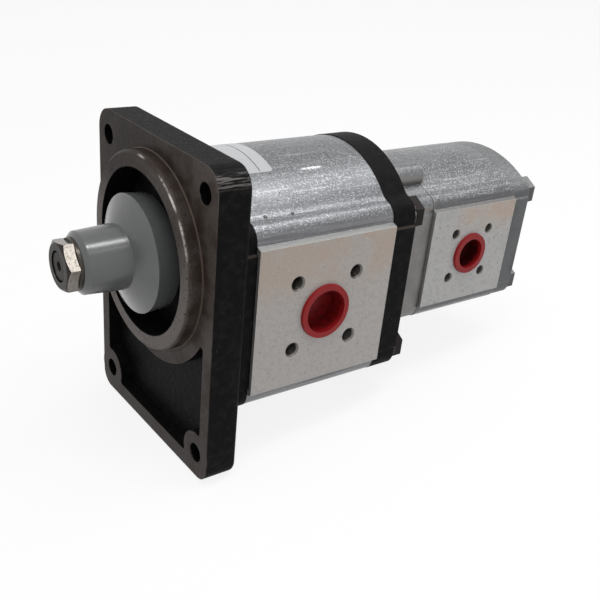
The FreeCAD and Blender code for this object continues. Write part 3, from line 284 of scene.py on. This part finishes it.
    def paint(self, colour, *masks):
        """Lay a colour over what is there, where all the masks hold."""
        node = self.add("ShaderNodeMix", data_type="RGBA")
        base = self.colour or tuple(self.shader.inputs["Base Color"].default_value)
        self.join(self.all_of(*masks), node.inputs[0])
        self.join(base, node.inputs[6])
        node.inputs[7].default_value = srgb(*colour)
        self.colour = node.outputs[2]
        self.join(self.colour, self.shader.inputs["Base Color"])

    def gloss(self, mask, low, high):
        """Roughness from low to high as the mask goes from 0 to 1."""
        self.join(self.ramp(mask, 0.0, 1.0, low, high), self.shader.inputs["Roughness"])

    def metal(self, mask, low, high):
        """How metallic it is, from low to high as the mask goes from 0 to 1."""
        self.join(self.ramp(mask, 0.0, 1.0, low, high), self.shader.inputs["Metallic"])

    def bump(self, height, depth, strength=1.0):
        """Relief of depth metres for a height of 0 to 1."""
        node = self.add("ShaderNodeBump")
        self.join(strength, node.inputs["Strength"])
        node.inputs["Distance"].default_value = depth
        self.join(height, node.inputs["Height"])
        if self.normal:
            self.join(self.normal, node.inputs["Normal"])
        self.normal = node.outputs[0]
        self.join(self.normal, self.shader.inputs["Normal"])

    def soft_edges(self, radius):
        """Round the light over sharp edges and return a mask of those edges."""
        node = self.add("ShaderNodeBevel", samples=6)
        node.inputs["Radius"].default_value = radius
        self.normal = node.outputs[0]
        self.join(self.normal, self.shader.inputs["Normal"])
        flat = self.add("ShaderNodeNewGeometry").outputs["Normal"]
        turn = self.add("ShaderNodeVectorMath", operation="DOT_PRODUCT")
        self.join(node.outputs[0], turn.inputs[0])
        self.join(flat, turn.inputs[1])
        return self.ramp(turn.outputs["Value"], 0.99, 0.80)


# Black iron

def black_casting(name):
    """Black cast iron: a grainy skin, near black on its sides, lighter on top with dust and painted
    light, and with a painted highlight on the shelf.
    """
    made = Finish(name, (13, 13, 14), 0.5, specular=0.05)
    made.edges = made.soft_edges(0.5 * MM)
    made.up = made.facing()[2]
    made.fine = made.noise(0.7 * MM, 3)
    made.lines = made.noise(0.45 * MM, 3, (12, 1, 1), 0.6)
    coarse = made.noise(2.2 * MM, 3)
    made.paint((24, 23, 24), made.ramp(coarse, 0.42, 0.72))
    # Lighter where the casting faces up: dust, and painted light for the light that falls on top
    top = made.ramp(made.up, 0.45, 0.92)
    made.paint((20, 18, 18), top, made.ramp(made.lines, 0.30, 0.66))
    made.paint((37, 34, 33), top, made.ramp(made.lines, 0.60, 0.74, 0.0, 0.8))
    made.paint((42, 39, 38), top, made.ramp(made.fine, 0.62, 0.72))
    made.paint((48, 46, 46), made.ramp(made.noise(1.0 * MM, 1), 0.74, 0.80))
    # Painted highlight: a lighter brown on the shelf beyond the middle cover's sides, where it faces
    # partly up
    shelf = made.between(made.z, 10 * MM, 30 * MM, 1 * MM)
    beyond = made.math("GREATER_THAN", made.math("ABSOLUTE", made.y), MIDDLE_COVER_SHELF)
    made.paint((54, 49, 45), shelf, beyond, made.ramp(made.up, 0.25, 0.5))
    made.paint((44, 43, 42), made.edges, made.ramp(made.fine, 0.35, 0.7))
    made.gloss(made.fine, 0.42, 0.68)
    made.bump(coarse, 0.25 * MM, 0.5)
    made.bump(made.fine, 0.12 * MM, 0.7)
    return made


def machine_bare(made):
    """Bare metal on the flange face and the spigot, browned, with turning marks, and painted reflection:
    lighter to the right and towards the bottom.
    """
    radius = made.radius()
    marks = made.rings(0.5 * MM)
    cut = made.math("LESS_THAN", made.x, 0.3 * MM)
    machined = made.all_of(cut, made.math("GREATER_THAN", radius, SPIGOT_BORE + 0.3 * MM))
    made.paint((38, 33, 31), machined)
    # Painted reflection: the machined face lighter to the right and towards the bottom
    made.paint((73, 66, 62), machined, made.ramp(made.y, 30 * MM, -45 * MM))
    made.paint((57, 52, 50), machined, made.ramp(made.z, -20 * MM, -60 * MM), 0.9)
    made.paint((48, 38, 33), machined, made.ramp(made.noise(7 * MM, 2), 0.44, 0.62, 0.0, 0.7))
    # Painted reflection: the spigot's front ring lighter towards the bottom
    front = made.math("LESS_THAN", made.x, SPIGOT_FRONT)
    made.paint((96, 90, 87), machined, front, made.ramp(made.z, 38 * MM, 8 * MM))
    made.paint((44, 38, 36), machined, made.ramp(made.fine, 0.55, 0.75))
    made.paint((86, 78, 72), machined, made.ramp(marks, 0.58, 0.75, 0.0, 0.4))
    made.metal(machined, 0.0, 0.3)
    skin_rough = made.ramp(made.fine, 0.0, 1.0, 0.42, 0.68)
    made.gloss(machined, skin_rough, made.ramp(marks, 0.2, 0.8, 0.36, 0.5))
    made.bump(marks, 0.02 * MM, made.all_of(machined, 0.6))


def line_spigot(made):
    """The bright line at the spigot's foot, painted glints on its chamfer, and a painted highlight on the
    flange's upper front edges.
    """
    radius = made.radius()
    foot = made.between(radius, SPIGOT_RADIUS - 0.1 * MM, SPIGOT_RADIUS + 0.35 * MM, 0.15 * MM)
    made.paint((104, 91, 82), foot, made.between(made.x, -0.7 * MM, 0.3 * MM, 0.1 * MM))
    # Painted highlight on the flange's front edges above 40 mm
    front_edge = made.math("LESS_THAN", made.x, 0.9 * MM)
    made.paint((98, 92, 88), made.edges, front_edge, made.math("GREATER_THAN", made.z, 40 * MM))
    angle = made.angle(0.0)
    # Painted glints: bright patches on the chamfer at these angles round the spigot
    painted_glints = [made.all_of(made.between(angle, math.radians(low), math.radians(high), PAINTED_GLINT_FADE), share)
              for low, high, share in PAINTED_GLINTS]
    chamfer = made.between(made.x, -7.8 * MM, -7.1 * MM, 0.25 * MM)
    outer = made.math("GREATER_THAN", radius, SPIGOT_RADIUS - CHAMFER_WIDTH)
    made.paint((196, 190, 185), chamfer, outer, made.any_of(*painted_glints), made.ramp(made.fine, 0.25, 0.5))


def front_cover_iron():
    """The cover's cast skin, with a painted sheen on the streaked top right corner of the flange,
    machined in front, and painted shade in the flange holes.
    """
    made = black_casting("front_cover_iron")
    # Painted sheen: lighter lines where the flange's top right corner faces partly up
    shoulder = made.between(made.up, 0.30, 0.80, 0.12)
    flange = made.math("LESS_THAN", made.x, FLANGE_BACK)
    right = made.math("LESS_THAN", made.y, 0.0)
    made.paint((98, 95, 93), shoulder, flange, right, made.ramp(made.lines, 0.45, 0.62))
    machine_bare(made)
    line_spigot(made)
    # Painted shade: the walls of the flange holes nearly black
    made.paint((9, 8, 8), made.flange_holes())
    return made


# Aluminium

def mark_lobe(made, fine):
    """The few marks on the front lobe that are large enough to be told apart."""
    around = made.angle(FRONT_LOBE_MIDDLE)
    for x, degrees, half_x, half_degrees, shade in LOBE_MARKS:
        spot = made.spot(made.x, x * MM, half_x * MM, around, math.radians(degrees),
                         math.radians(half_degrees))
        made.paint(shade, spot, made.ramp(fine, 0.3, 0.5))


def mill_port_face(made, pump, milled):
    """The milled port face: pale, finely crackled, and beige above the port."""
    made.paint(pump.milled, milled)
    crackle = made.noise(1.6 * MM, 4, None, 0.7)
    made.paint(pump.crackle, milled, made.ramp(crackle, 0.5, 0.56, 0.0, pump.crackle_share))
    beige = made.ramp(made.noise(11 * MM, 4, None, 0.6), 0.36, 0.58, 0.15, 0.9)
    place = made.ramp(made.z, pump.port.z + pump.beige_from, pump.port.z + pump.beige_full)
    if pump is REAR:
        place = made.all_of(place, made.ramp(made.x, REAR_BEIGE_START, REAR_BEIGE_END))
    made.paint(pump.beige, milled, beige, place)
    made.paint((122, 121, 122), milled, made.ramp(made.noise(0.8 * MM, 2), 0.64, 0.72, 0.0, 0.7))
    made.paint((196, 195, 194), milled, made.ramp(made.noise(0.7 * MM, 2), 0.34, 0.27, 0.0, 0.6))


def bare_aluminium(pump):
    """Extruded body: sparkling skin with lines along the shaft, and milled port faces; painted light on
    the skin's upright sides, its ledge and its flat end faces, and painted shade in the screw holes.
    """
    made = Finish(pump.name + "_body_aluminium", pump.skin, 0.36, metal=1.0)
    edges = made.soft_edges(0.35 * MM)
    turned = made.facing()
    out = made.math("ABSOLUTE", made.y)
    milled = made.math("GREATER_THAN", out, pump.face - SKIN_DEPTH)
    grain = made.grains(0.6 * MM)
    fine = made.noise(0.5 * MM, 3)
    drawn = made.noise(0.6 * MM, 3, (45, 1, 1), 0.6)
    cloud = made.noise(14 * MM, 2)
    made.paint((188, 191, 194), made.ramp(grain, 0.60, 0.98, 0.0, pump.sparkle))
    made.paint((92, 93, 95), made.ramp(made.grains(0.5 * MM), 0.34, 0.0, 0.0, pump.sparkle))
    made.paint((98, 99, 101), made.ramp(drawn, 0.52, 0.70, 0.0, 0.6))
    made.paint((190, 192, 194), made.ramp(drawn, 0.40, 0.26, 0.0, 0.6))
    made.paint((134, 135, 138), made.ramp(cloud, 0.4, 0.7, 0.0, 0.35))
    pits = made.ramp(made.noise(1.1 * MM, 1), 0.70, 0.76)
    made.paint((78, 78, 78), pits, made.ramp(cloud, 0.45, 0.6))
    # Painted light: the skin's upright sides in a tone of their own, lighter on the front pump and darker
    # on the rear
    side = made.ramp(made.math("ABSOLUTE", turned[1]), 0.80, 0.97)
    made.paint(pump.side, side, 0.8)
    made.paint((96, 97, 99), side, made.ramp(drawn, 0.5, 0.62, 0.0, 0.8))
    # Painted light on the ledge between the ridge and the port face
    skin = made.math("LESS_THAN", out, pump.face - SKIN_DEPTH)
    made.paint(pump.ledge_light, made.math("GREATER_THAN", out, pump.ridge), skin)
    # Painted light: faces that look towards the flange made lighter
    flat_end = made.math("LESS_THAN", turned[0], -0.9)
    made.paint((140, 138, 136), flat_end)
    if pump is FRONT:
        mark_lobe(made, fine)
    mill_port_face(made, pump, milled)
    made.paint((214, 215, 216), edges, made.ramp(fine, 0.3, 0.6))
    # The countersinks darker grey; below them, painted shade makes the hole walls nearly black
    made.paint((112, 109, 106), made.screw_holes(pump, pump.hole + 1.3 * MM, 0.12 * MM))
    made.paint((30, 28, 27), made.screw_holes(pump, pump.hole, pump.sink))
    made.metal(made.any_of(milled, flat_end), 1.0, 0.35)
    made.gloss(milled, made.ramp(fine, 0.2, 0.8, 0.30, 0.42), made.ramp(fine, 0.2, 0.8, 0.5, 0.62))
    rough_skin = made.ramp(milled, 0.0, 1.0, 1.0, 0.12)
    for relief, strength in ((grain, 0.6), (fine, 0.8), (drawn, 0.6)):
        made.bump(relief, 0.06 * MM, made.all_of(rough_skin, strength))
    return made


def cast_aluminium(name, colour, side_light_colour):
    """Adapter and rear cover: as light as the bodies on top, with painted light on their upright sides.
    """
    made = Finish(name, colour, 0.42, metal=0.9)
    edges = made.soft_edges(0.4 * MM)
    fine = made.noise(0.7 * MM, 3)
    cloud = made.noise(10 * MM, 2)
    made.paint(shifted(colour, 40), made.ramp(fine, 0.52, 0.72, 0.0, 0.8))
    made.paint(shifted(colour, -30), made.ramp(fine, 0.46, 0.32, 0.0, 0.7))
    # Painted light: the upright sides in a tone of their own, a little lighter on the adapter and darker
    # on the rear cover
    upright = made.ramp(made.facing()[2], 0.45, 0.10)
    made.paint(side_light_colour, upright)
    made.paint(shifted(side_light_colour, -20), upright, made.ramp(cloud, 0.42, 0.66, 0.0, 0.6))
    made.paint(shifted(side_light_colour, 24), upright, made.ramp(fine, 0.58, 0.74, 0.0, 0.7))
    made.paint((205, 206, 207), edges, made.ramp(fine, 0.35, 0.65))
    made.gloss(fine, 0.34, 0.54)
    made.bump(fine, 0.1 * MM, 0.7)
    return made


# Steel and bronze

def steel(name, colour, rough=0.32, worn=(190, 190, 190), metal=1.0, specular=0.5):
    """Turned or forged metal with fine marks and bright edges."""
    made = Finish(name, colour, rough, metal=metal, specular=specular)
    edges = made.soft_edges(0.25 * MM)
    fine = made.noise(0.6 * MM, 3)
    made.paint(dimmed(colour, 0.7), made.ramp(made.noise(3 * MM, 2), 0.42, 0.7, 0.0, 0.8))
    made.paint(worn, edges, made.ramp(fine, 0.25, 0.55))
    made.gloss(fine, rough - 0.08, rough + 0.14)
    made.bump(fine, 0.03 * MM, 0.6)
    return made


def nut_steel():
    """The shaft nut: clean flats, with painted shade on its end face and bevelled corners."""
    made = Finish("nut_steel", (126, 121, 115), 0.16, metal=1.0, specular=0.08)
    edges = made.soft_edges(0.2 * MM)
    along = made.facing()[0]
    end_face = made.ramp(along, -0.80, -0.97)
    fine = made.noise(0.7 * MM, 3)
    made.paint((92, 86, 80), made.ramp(fine, 0.55, 0.75, 0.0, 0.8))
    made.paint((104, 97, 90), made.ramp(made.noise(2.5 * MM, 2), 0.5, 0.7, 0.0, 0.5))
    # Painted shade: the bevelled corners and, darkest, the end face
    made.paint((60, 56, 52), made.ramp(along, -0.12, -0.35))
    made.paint((36, 32, 30), end_face)
    made.paint((150, 146, 140), edges, made.ramp(fine, 0.35, 0.6, 0.0, 0.6))
    made.metal(end_face, 1.0, 0.0)
    made.gloss(fine, 0.12, 0.22)
    made.bump(fine, 0.01 * MM, 0.5)
    return made


def bolt_steel(name, lit_colour, shaded_colour, seat=None):
    """Painted light above and painted shade below, with a dark line where a bolt head seats."""
    made = Finish(name, shaded_colour, 0.32, metal=1.0)
    edges = made.soft_edges(0.25 * MM)
    fine = made.noise(0.6 * MM, 3)
    # Painted light on faces that look up, over the shaded colour below
    made.paint(lit_colour, made.ramp(made.facing()[2], 0.10, 0.45))
    made.paint(dimmed(shaded_colour, 0.75), made.ramp(fine, 0.5, 0.72, 0.0, 0.5))
    made.paint(shifted(lit_colour, 40), edges, made.ramp(fine, 0.3, 0.6, 0.0, 0.6))
    if seat:
        made.paint((40, 38, 37), made.between(made.x, seat - 0.2 * MM, seat + 0.7 * MM, 0.05 * MM))
    made.gloss(fine, 0.26, 0.44)
    made.bump(fine, 0.03 * MM, 0.6)
    return made


# Plastic, rubber and paper

def moulded(name, colour, rough, shade, specular=0.5):
    """Moulded plastic or rubber with a faint skin and slight wear."""
    made = Finish(name, colour, rough, specular=specular)
    edges = made.soft_edges(0.4 * MM)
    cloud = made.noise(6 * MM, 2)
    fine = made.noise(0.45 * MM, 2)
    made.paint(shade, made.ramp(cloud, 0.4, 0.7, 0.0, 0.5))
    made.paint(shifted(colour, 30), edges, made.ramp(fine, 0.3, 0.7, 0.0, 0.35))
    made.gloss(fine, rough - 0.05, rough + 0.08)
    made.bump(cloud, 0.15 * MM, 0.3)
    made.bump(fine, 0.02 * MM, 0.5)
    return made


def plug_red(pump, cup_shade, cup_shade_blotches):
    """A red moulded plug, with painted shade in its cup, darker in blotches."""
    made = moulded(pump.name + "_plug_red", (133, 22, 25), 0.36, (114, 17, 20), 0.2)
    out = made.math("ABSOLUTE", made.y)
    inside = made.ramp(out, pump.face + 0.6 * MM, pump.face - 2.5 * MM)
    # Painted shade inside the cup, darker in blotches
    made.paint(cup_shade, inside)
    made.paint(cup_shade_blotches, inside, made.ramp(made.noise(0.9 * MM, 2), 0.5, 0.62, 0.0, 0.8))
    return made


def label_paper():
    """Pale label paper, slightly glossy."""
    made = Finish("label_paper", (177, 178, 180), 0.42)
    made.paint((170, 171, 173), made.ramp(made.noise(4 * MM, 2), 0.45, 0.7, 0.0, 0.5))
    made.paint((158, 159, 161), made.ramp(made.noise(0.8 * MM, 2), 0.60, 0.72, 0.0, 0.4))
    made.bump(made.noise(3 * MM, 2), 0.05 * MM, 0.3)
    return made


def label_ink():
    """Dark printed line, slightly uneven."""
    made = Finish("label_ink", (58, 60, 64), 0.5)
    made.paint((96, 98, 102), made.ramp(made.noise(0.3 * MM, 2), 0.5, 0.7, 0.0, 0.6))
    return made


# Pieces that are made here

LABEL_LOW = math.radians(25.3)             # lower end of the label, from the top of the lobe
LABEL_HIGH = math.radians(-45)             # its upper end, on the far side
LABEL_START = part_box("front_body")[0].x + 0.15 * MM
LABEL_END = 56.5 * MM
LABEL_CORNER = 2.5 * MM
CORNER_STEPS = 4
PAPER = 0.1 * MM                           # thickness
PAPER_RADIUS = FRONT_LOBE + 0.05 * MM
RULE_START = 48.4 * MM
RULE_WIDTH = 0.5 * MM
RULE_SHORT = 0.02                          # radians from the label's ends
INK = 0.02 * MM                            # thickness
INK_RADIUS = FRONT_LOBE + 0.17 * MM
BENDS = 40                                 # flats that a bent sheet is made of

THREAD_DEPTH = 0.42 * MM
THREAD_LENGTH = 10 * MM
THREAD_FACETS = 20                         # in one turn
THREAD_IN_WALL = 0.03 * MM
THREAD_START = 0.1 * MM                    # behind the countersink


def new_piece(name, body, finish, shape, smooth=35):
    """Turn a finished bmesh into a piece of the object."""
    bmesh.ops.recalc_face_normals(shape, faces=shape.faces)
    mesh = bpy.data.meshes.new(name)
    shape.to_mesh(mesh)
    shape.free()
    mesh.materials.append(finish.material)
    mesh.shade_smooth()
    mesh.set_sharp_from_angle(angle=math.radians(smooth))
    piece = bpy.data.objects.new(name, mesh)
    bpy.context.scene.collection.objects.link(piece)
    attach(piece, body)


def sheet_round_lobe(shape, corners, radius, thickness):
    """Bend a flat sheet, given by its corners (x, angle from +Z towards -Y), over the front lobe."""
    shape.faces.new([shape.verts.new((x, angle, 0)) for x, angle in corners])
    angles = [angle for x, angle in corners]
    for cut in range(1, BENDS):
        at = min(angles) + (max(angles) - min(angles)) * cut / BENDS
        bmesh.ops.bisect_plane(shape, geom=shape.verts[:] + shape.edges[:] + shape.faces[:],
                               plane_co=(0, at, 0), plane_no=(0, 1, 0))
    for vert in shape.verts:
        x, angle, _ = vert.co
        vert.co = (x, -radius * math.sin(angle), FRONT_LOBE_MIDDLE + radius * math.cos(angle))
    bmesh.ops.recalc_face_normals(shape, faces=shape.faces)
    bmesh.ops.solidify(shape, geom=shape.faces[:], thickness=thickness)


def rounded_label():
    """Corners of the label, with its two corners away from the flange rounded."""
    corners = [(LABEL_START, LABEL_LOW)]
    for end, inwards in ((LABEL_LOW, -1), (LABEL_HIGH, 1)):
        arc = []
        for step in range(CORNER_STEPS + 1):
            part = math.radians(90) * step / CORNER_STEPS
            rise = (LABEL_CORNER - LABEL_CORNER * math.cos(part)) / FRONT_LOBE
            arc.append((LABEL_END - LABEL_CORNER + LABEL_CORNER * math.sin(part), end + inwards * rise))
        corners += arc if end == LABEL_LOW else arc[::-1]
    return corners + [(LABEL_START, LABEL_HIGH)]


def make_label():
    """Blank label wrapped over the front body, with one thin rule."""
    sheet = bmesh.new()
    sheet_round_lobe(sheet, rounded_label(), PAPER_RADIUS, PAPER)
    new_piece("body_label", "housing", label_paper(), sheet)
    low, high = LABEL_LOW - RULE_SHORT, LABEL_HIGH + RULE_SHORT
    start, end = RULE_START, RULE_START + RULE_WIDTH
    rule = bmesh.new()
    sheet_round_lobe(rule, [(start, low), (end, low), (end, high), (start, high)], INK_RADIUS, INK)
    new_piece("label_rule", "housing", label_ink(), rule)


def thread(shape, start, axis, radius, pitch):
    """A helical ridge on the wall of a hole."""
    across = axis.orthogonal().normalized()
    steps = int(THREAD_LENGTH / pitch * THREAD_FACETS)
    profile = ((radius, 0), (radius - THREAD_DEPTH, pitch * 0.42), (radius, pitch * 0.84))
    ridge = [shape.verts.new(start + across * out + axis * along) for out, along in profile]
    edges = [shape.edges.new(pair) for pair in zip(ridge, ridge[1:])]
    bmesh.ops.spin(shape, geom=ridge + edges, cent=start, axis=axis, steps=steps,
                   dvec=axis * (pitch / THREAD_FACETS), angle=math.tau * steps / THREAD_FACETS)


def make_port_threads():
    """Threads in the sixteen port screw holes, four round each port."""
    # Dark steel in the threads: oily steel, darkened further as painted shade inside the holes
    cut = steel("thread_steel", (66, 63, 60), 0.34, (120, 118, 116))
    corners = [(x, z) for x in (-0.5, 0.5) for z in (-0.5, 0.5)]
    for pump in (FRONT, REAR):
        shape = bmesh.new()
        for side in (-1, 1):
            inwards = Vector((0, -side, 0))
            for x, z in corners:
                mouth = Vector((pump.port.x + x * pump.square, side * pump.face,
                                pump.port.z + z * pump.square))
                start = mouth + inwards * (pump.sink + THREAD_START)
                thread(shape, start, inwards, pump.hole + THREAD_IN_WALL, pump.pitch)
        new_piece(pump.name + "_port_threads", "housing", cut, shape, 50)


def dress_nodes():
    """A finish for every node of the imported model."""
    finishes = (
        (front_cover_iron(), ["front_cover"]),
        (black_casting("middle_cover_iron"), ["middle_cover"]),
        (bare_aluminium(FRONT), ["front_body"]),
        (bare_aluminium(REAR), ["rear_body"]),
        (cast_aluminium("adapter_aluminium", (118, 119, 121), (124, 122, 120)), ["adapter_plate"]),
        (cast_aluminium("rear_cover_aluminium", (116, 117, 118), (94, 95, 96)), ["rear_cover"]),
        (cast_aluminium("bearing_block_aluminium", (150, 150, 148), (140, 140, 138)),
         ["front_pump_front_bearing", "front_pump_rear_bearing",
          "rear_pump_front_bearing", "rear_pump_rear_bearing"]),
        (steel("black_bolt_steel", (40, 36, 36), 0.4, (120, 118, 116)),
         ["front_bolts", "adapter_screws", "seal_retaining_ring"]),
        (bolt_steel("bolt_washer_steel", (206, 204, 202), (48, 45, 44)), ["front_bolt_washers"]),
        (bolt_steel("plated_bolt_steel", (128, 128, 127), (84, 84, 85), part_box("rear_cover")[1].x),
         ["rear_bolts"]),
        (steel("pin_steel", (132, 131, 129), 0.3), ["front_dowels", "rear_dowels", "shaft_key"]),
        (nut_steel(), ["shaft_nut"]),
        (steel("washer_steel", (74, 69, 65), 0.3, (120, 115, 110)), ["shaft_washer"]),
        (steel("shaft_steel", (34, 30, 28), 0.34, (84, 78, 74), 0.2, 0.08), ["drive_shaft"]),
        (steel("gear_steel", (132, 130, 128), 0.28),
         ["front_driven_gear", "rear_driven_gear", "rear_drive_gear", "coupling_sleeve"]),
        (steel("bush_bronze", (150, 112, 70), 0.36, (200, 170, 120)),
         ["front_pump_bushes", "rear_pump_bushes"]),
        (plug_red(FRONT, (112, 16, 19), (76, 10, 12)), ["front_port_plug_right", "front_port_plug_left"]),
        (plug_red(REAR, (70, 8, 10), (22, 4, 5)), ["rear_port_plug_right", "rear_port_plug_left"]),
        (moulded("guard_grey", (87, 88, 88), 0.22, (79, 81, 81), 0.6), ["shaft_guard"]),
        (moulded("seal_rubber", (22, 22, 24), 0.55, (18, 18, 20), 0.2),
         ["front_body_seals", "rear_body_seals", "front_balance_seals", "rear_balance_seals",
          "shaft_seal"]),
    )
    for finish, names in finishes:
        for name in names:
            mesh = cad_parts[name].data
            mesh.materials.clear()
            mesh.materials.append(finish.material)


# Camera, light and floor

IMAGE = 600                                # width and height of the picture, in pixels
FOCAL = 859.586                            # focal length, in pixels
PRINCIPAL_DOWN = 357.652                   # principal point, in pixels from the top
SENSOR = 36.0                              # width of the sensor, in millimetres
AZIMUTH, ELEVATION, ROLL = (math.radians(angle) for angle in (-38.84, 29.248, 6.031))
TARGET = Vector((35.086, -88.511, -28.418)) * MM
CAMERA_DISTANCE = 422.976 * MM

# Each lamp: the place it is aimed at in mm, the way back to it, how far it is, its width across
# the pump and along it in metres, and its power in watts
LAMPS = (
    ("over_lobe", (40, -36, 37), (0.51, -0.13, 0.85), 1.1, 0.32, 0.35, 1.2),
    ("over_rear", (150, -25, 28), (0.667, 0.03, 0.745), 1.1, 0.25, 0.3, 0.45),
    ("over_guard", (-35, -8, 15), (0.286, -0.245, 0.93), 1.0, 0.16, 0.22, 2.0),
    ("over_nut", (-48, -9.3, 7.5), (0.343, -0.563, 0.75), 1.0, 0.12, 0.12, 0.22),
    ("front", (80, 0, -20), (-0.22, -0.20, 0.95), 1.1, 0.7, 0.6, 4.5))
ROOM_LIGHT = 0.55                          # strength of the plain light from all sides
FLOOR_HALF = 6.0                           # half the floor's side
FLOOR_PALE = 0.92
FLOOR_WHITE = 0.86                         # share of white in what the eye sees of the floor
FLOOR_GAP = 0.2 * MM
SPIGOT_TO_TOE = 26 * MM                    # from the spigot's front to the edge that stands


def place_camera():
    """The photograph's viewpoint, fitted to the flange holes, ports and edges."""
    back = Vector((math.sin(AZIMUTH) * math.cos(ELEVATION), -math.cos(AZIMUTH) * math.cos(ELEVATION),
                   math.sin(ELEVATION)))
    level = Vector((0, 0, 1)).cross(back).normalized()
    above = back.cross(level)
    right = level * math.cos(ROLL) + above * math.sin(ROLL)
    up = above * math.cos(ROLL) - level * math.sin(ROLL)
    data = bpy.data.cameras.new("camera")
    data.sensor_width = SENSOR
    data.lens = FOCAL / IMAGE * SENSOR
    data.shift_y = (PRINCIPAL_DOWN - IMAGE / 2) / IMAGE
    data.clip_start = 0.01
    camera = bpy.data.objects.new("camera", data)
    turn = Matrix((right, up, back)).transposed().to_4x4()
    camera.matrix_world = Matrix.Translation(TARGET + back * CAMERA_DISTANCE) @ turn
    bpy.context.scene.collection.objects.link(camera)
    bpy.context.scene.camera = camera


def soft_light(name, aim, towards, distance, across, along, power):
    """A soft lamp at a distance from what it lights."""
    data = bpy.data.lights.new(name, "AREA")
    data.shape = "RECTANGLE"
    data.size, data.size_y = along, across
    data.energy = power
    back = Vector(towards).normalized()
    level = Vector((0, 1, 0)).cross(back).normalized()
    turn = Matrix((level, back.cross(level), back)).transposed().to_4x4()
    lamp = bpy.data.objects.new(name, data)
    lamp.matrix_world = Matrix.Translation(Vector(aim) * MM + back * distance) @ turn
    bpy.context.scene.collection.objects.link(lamp)


def seen_directly(tree):
    """1 where the eye, a reflection or clear glass looks at it, 0 where it only lights others."""
    paths = tree.nodes.new("ShaderNodeLightPath")
    total = paths.outputs["Is Camera Ray"]
    for kind in ("Is Glossy Ray", "Is Transmission Ray"):
        node = tree.nodes.new("ShaderNodeMath")
        node.operation = "MAXIMUM"
        tree.links.new(total, node.inputs[0])
        tree.links.new(paths.outputs[kind], node.inputs[1])
        total = node.outputs[0]
    return total


def mixed(tree, share, first, second, output):
    """Join two shaders to an output, with this share of the second."""
    mix = tree.nodes.new("ShaderNodeMixShader")
    tree.links.new(share, mix.inputs[0])
    tree.links.new(first.outputs[0], mix.inputs[1])
    tree.links.new(second.outputs[0], mix.inputs[2])
    tree.links.new(mix.outputs[0], tree.nodes[output].inputs["Surface"])


def make_world():
    """Plain light from all sides, which looks white where it is seen."""
    world = bpy.data.worlds.new("studio")
    bpy.context.scene.world = world
    world.use_nodes = True
    tree = world.node_tree
    plain = tree.nodes["Background"]
    white = tree.nodes.new("ShaderNodeBackground")
    for light, strength in ((plain, ROOM_LIGHT), (white, 1.0)):
        light.inputs["Color"].default_value = (1, 1, 1, 1)
        light.inputs["Strength"].default_value = strength
    mixed(tree, seen_directly(tree), plain, white, "World Output")


def floor_white():
    """A pale floor that looks nearly white and keeps the pump's shadow."""
    material = bpy.data.materials.new("floor_white")
    material.use_nodes = True
    tree = material.node_tree
    shader = tree.nodes["Principled BSDF"]
    shader.inputs["Base Color"].default_value = (FLOOR_PALE, FLOOR_PALE, FLOOR_PALE, 1)
    shader.inputs["Roughness"].default_value = 0.9
    glow = tree.nodes.new("ShaderNodeEmission")
    glow.inputs["Strength"].default_value = 1.0
    share = tree.nodes.new("ShaderNodeMath")
    share.operation = "MULTIPLY"
    share.inputs[1].default_value = FLOOR_WHITE
    tree.links.new(seen_directly(tree), share.inputs[0])
    mixed(tree, share.outputs[0], shader, glow, "Material Output")
    return material


def make_floor():
    """A floor that the pump rests on with its flange and its middle cover."""
    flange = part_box("front_cover")[0]
    cover_low, cover_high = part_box("middle_cover")
    toe = Vector((flange.x + SPIGOT_TO_TOE, 0, flange.z))
    slope = math.atan2(cover_low.z - toe.z, cover_high.x - toe.x)
    shape = bmesh.new()
    bmesh.ops.create_grid(shape, x_segments=1, y_segments=1, size=FLOOR_HALF)
    bmesh.ops.rotate(shape, verts=shape.verts, cent=(0, 0, 0), matrix=Matrix.Rotation(-slope, 3, "Y"))
    bmesh.ops.translate(shape, verts=shape.verts, vec=toe - Vector((0, 0, FLOOR_GAP)))
    mesh = bpy.data.meshes.new("floor")
    shape.to_mesh(mesh)
    shape.free()
    mesh.materials.append(floor_white())
    floor = bpy.data.objects.new("floor", mesh)
    bpy.context.scene.collection.objects.link(floor)


bpy.context.scene.view_settings.view_transform = "Standard"
place_camera()
make_world()
make_floor()
for lamp in LAMPS:
    soft_light(*lamp)
dress_nodes()
make_label()
make_port_threads()
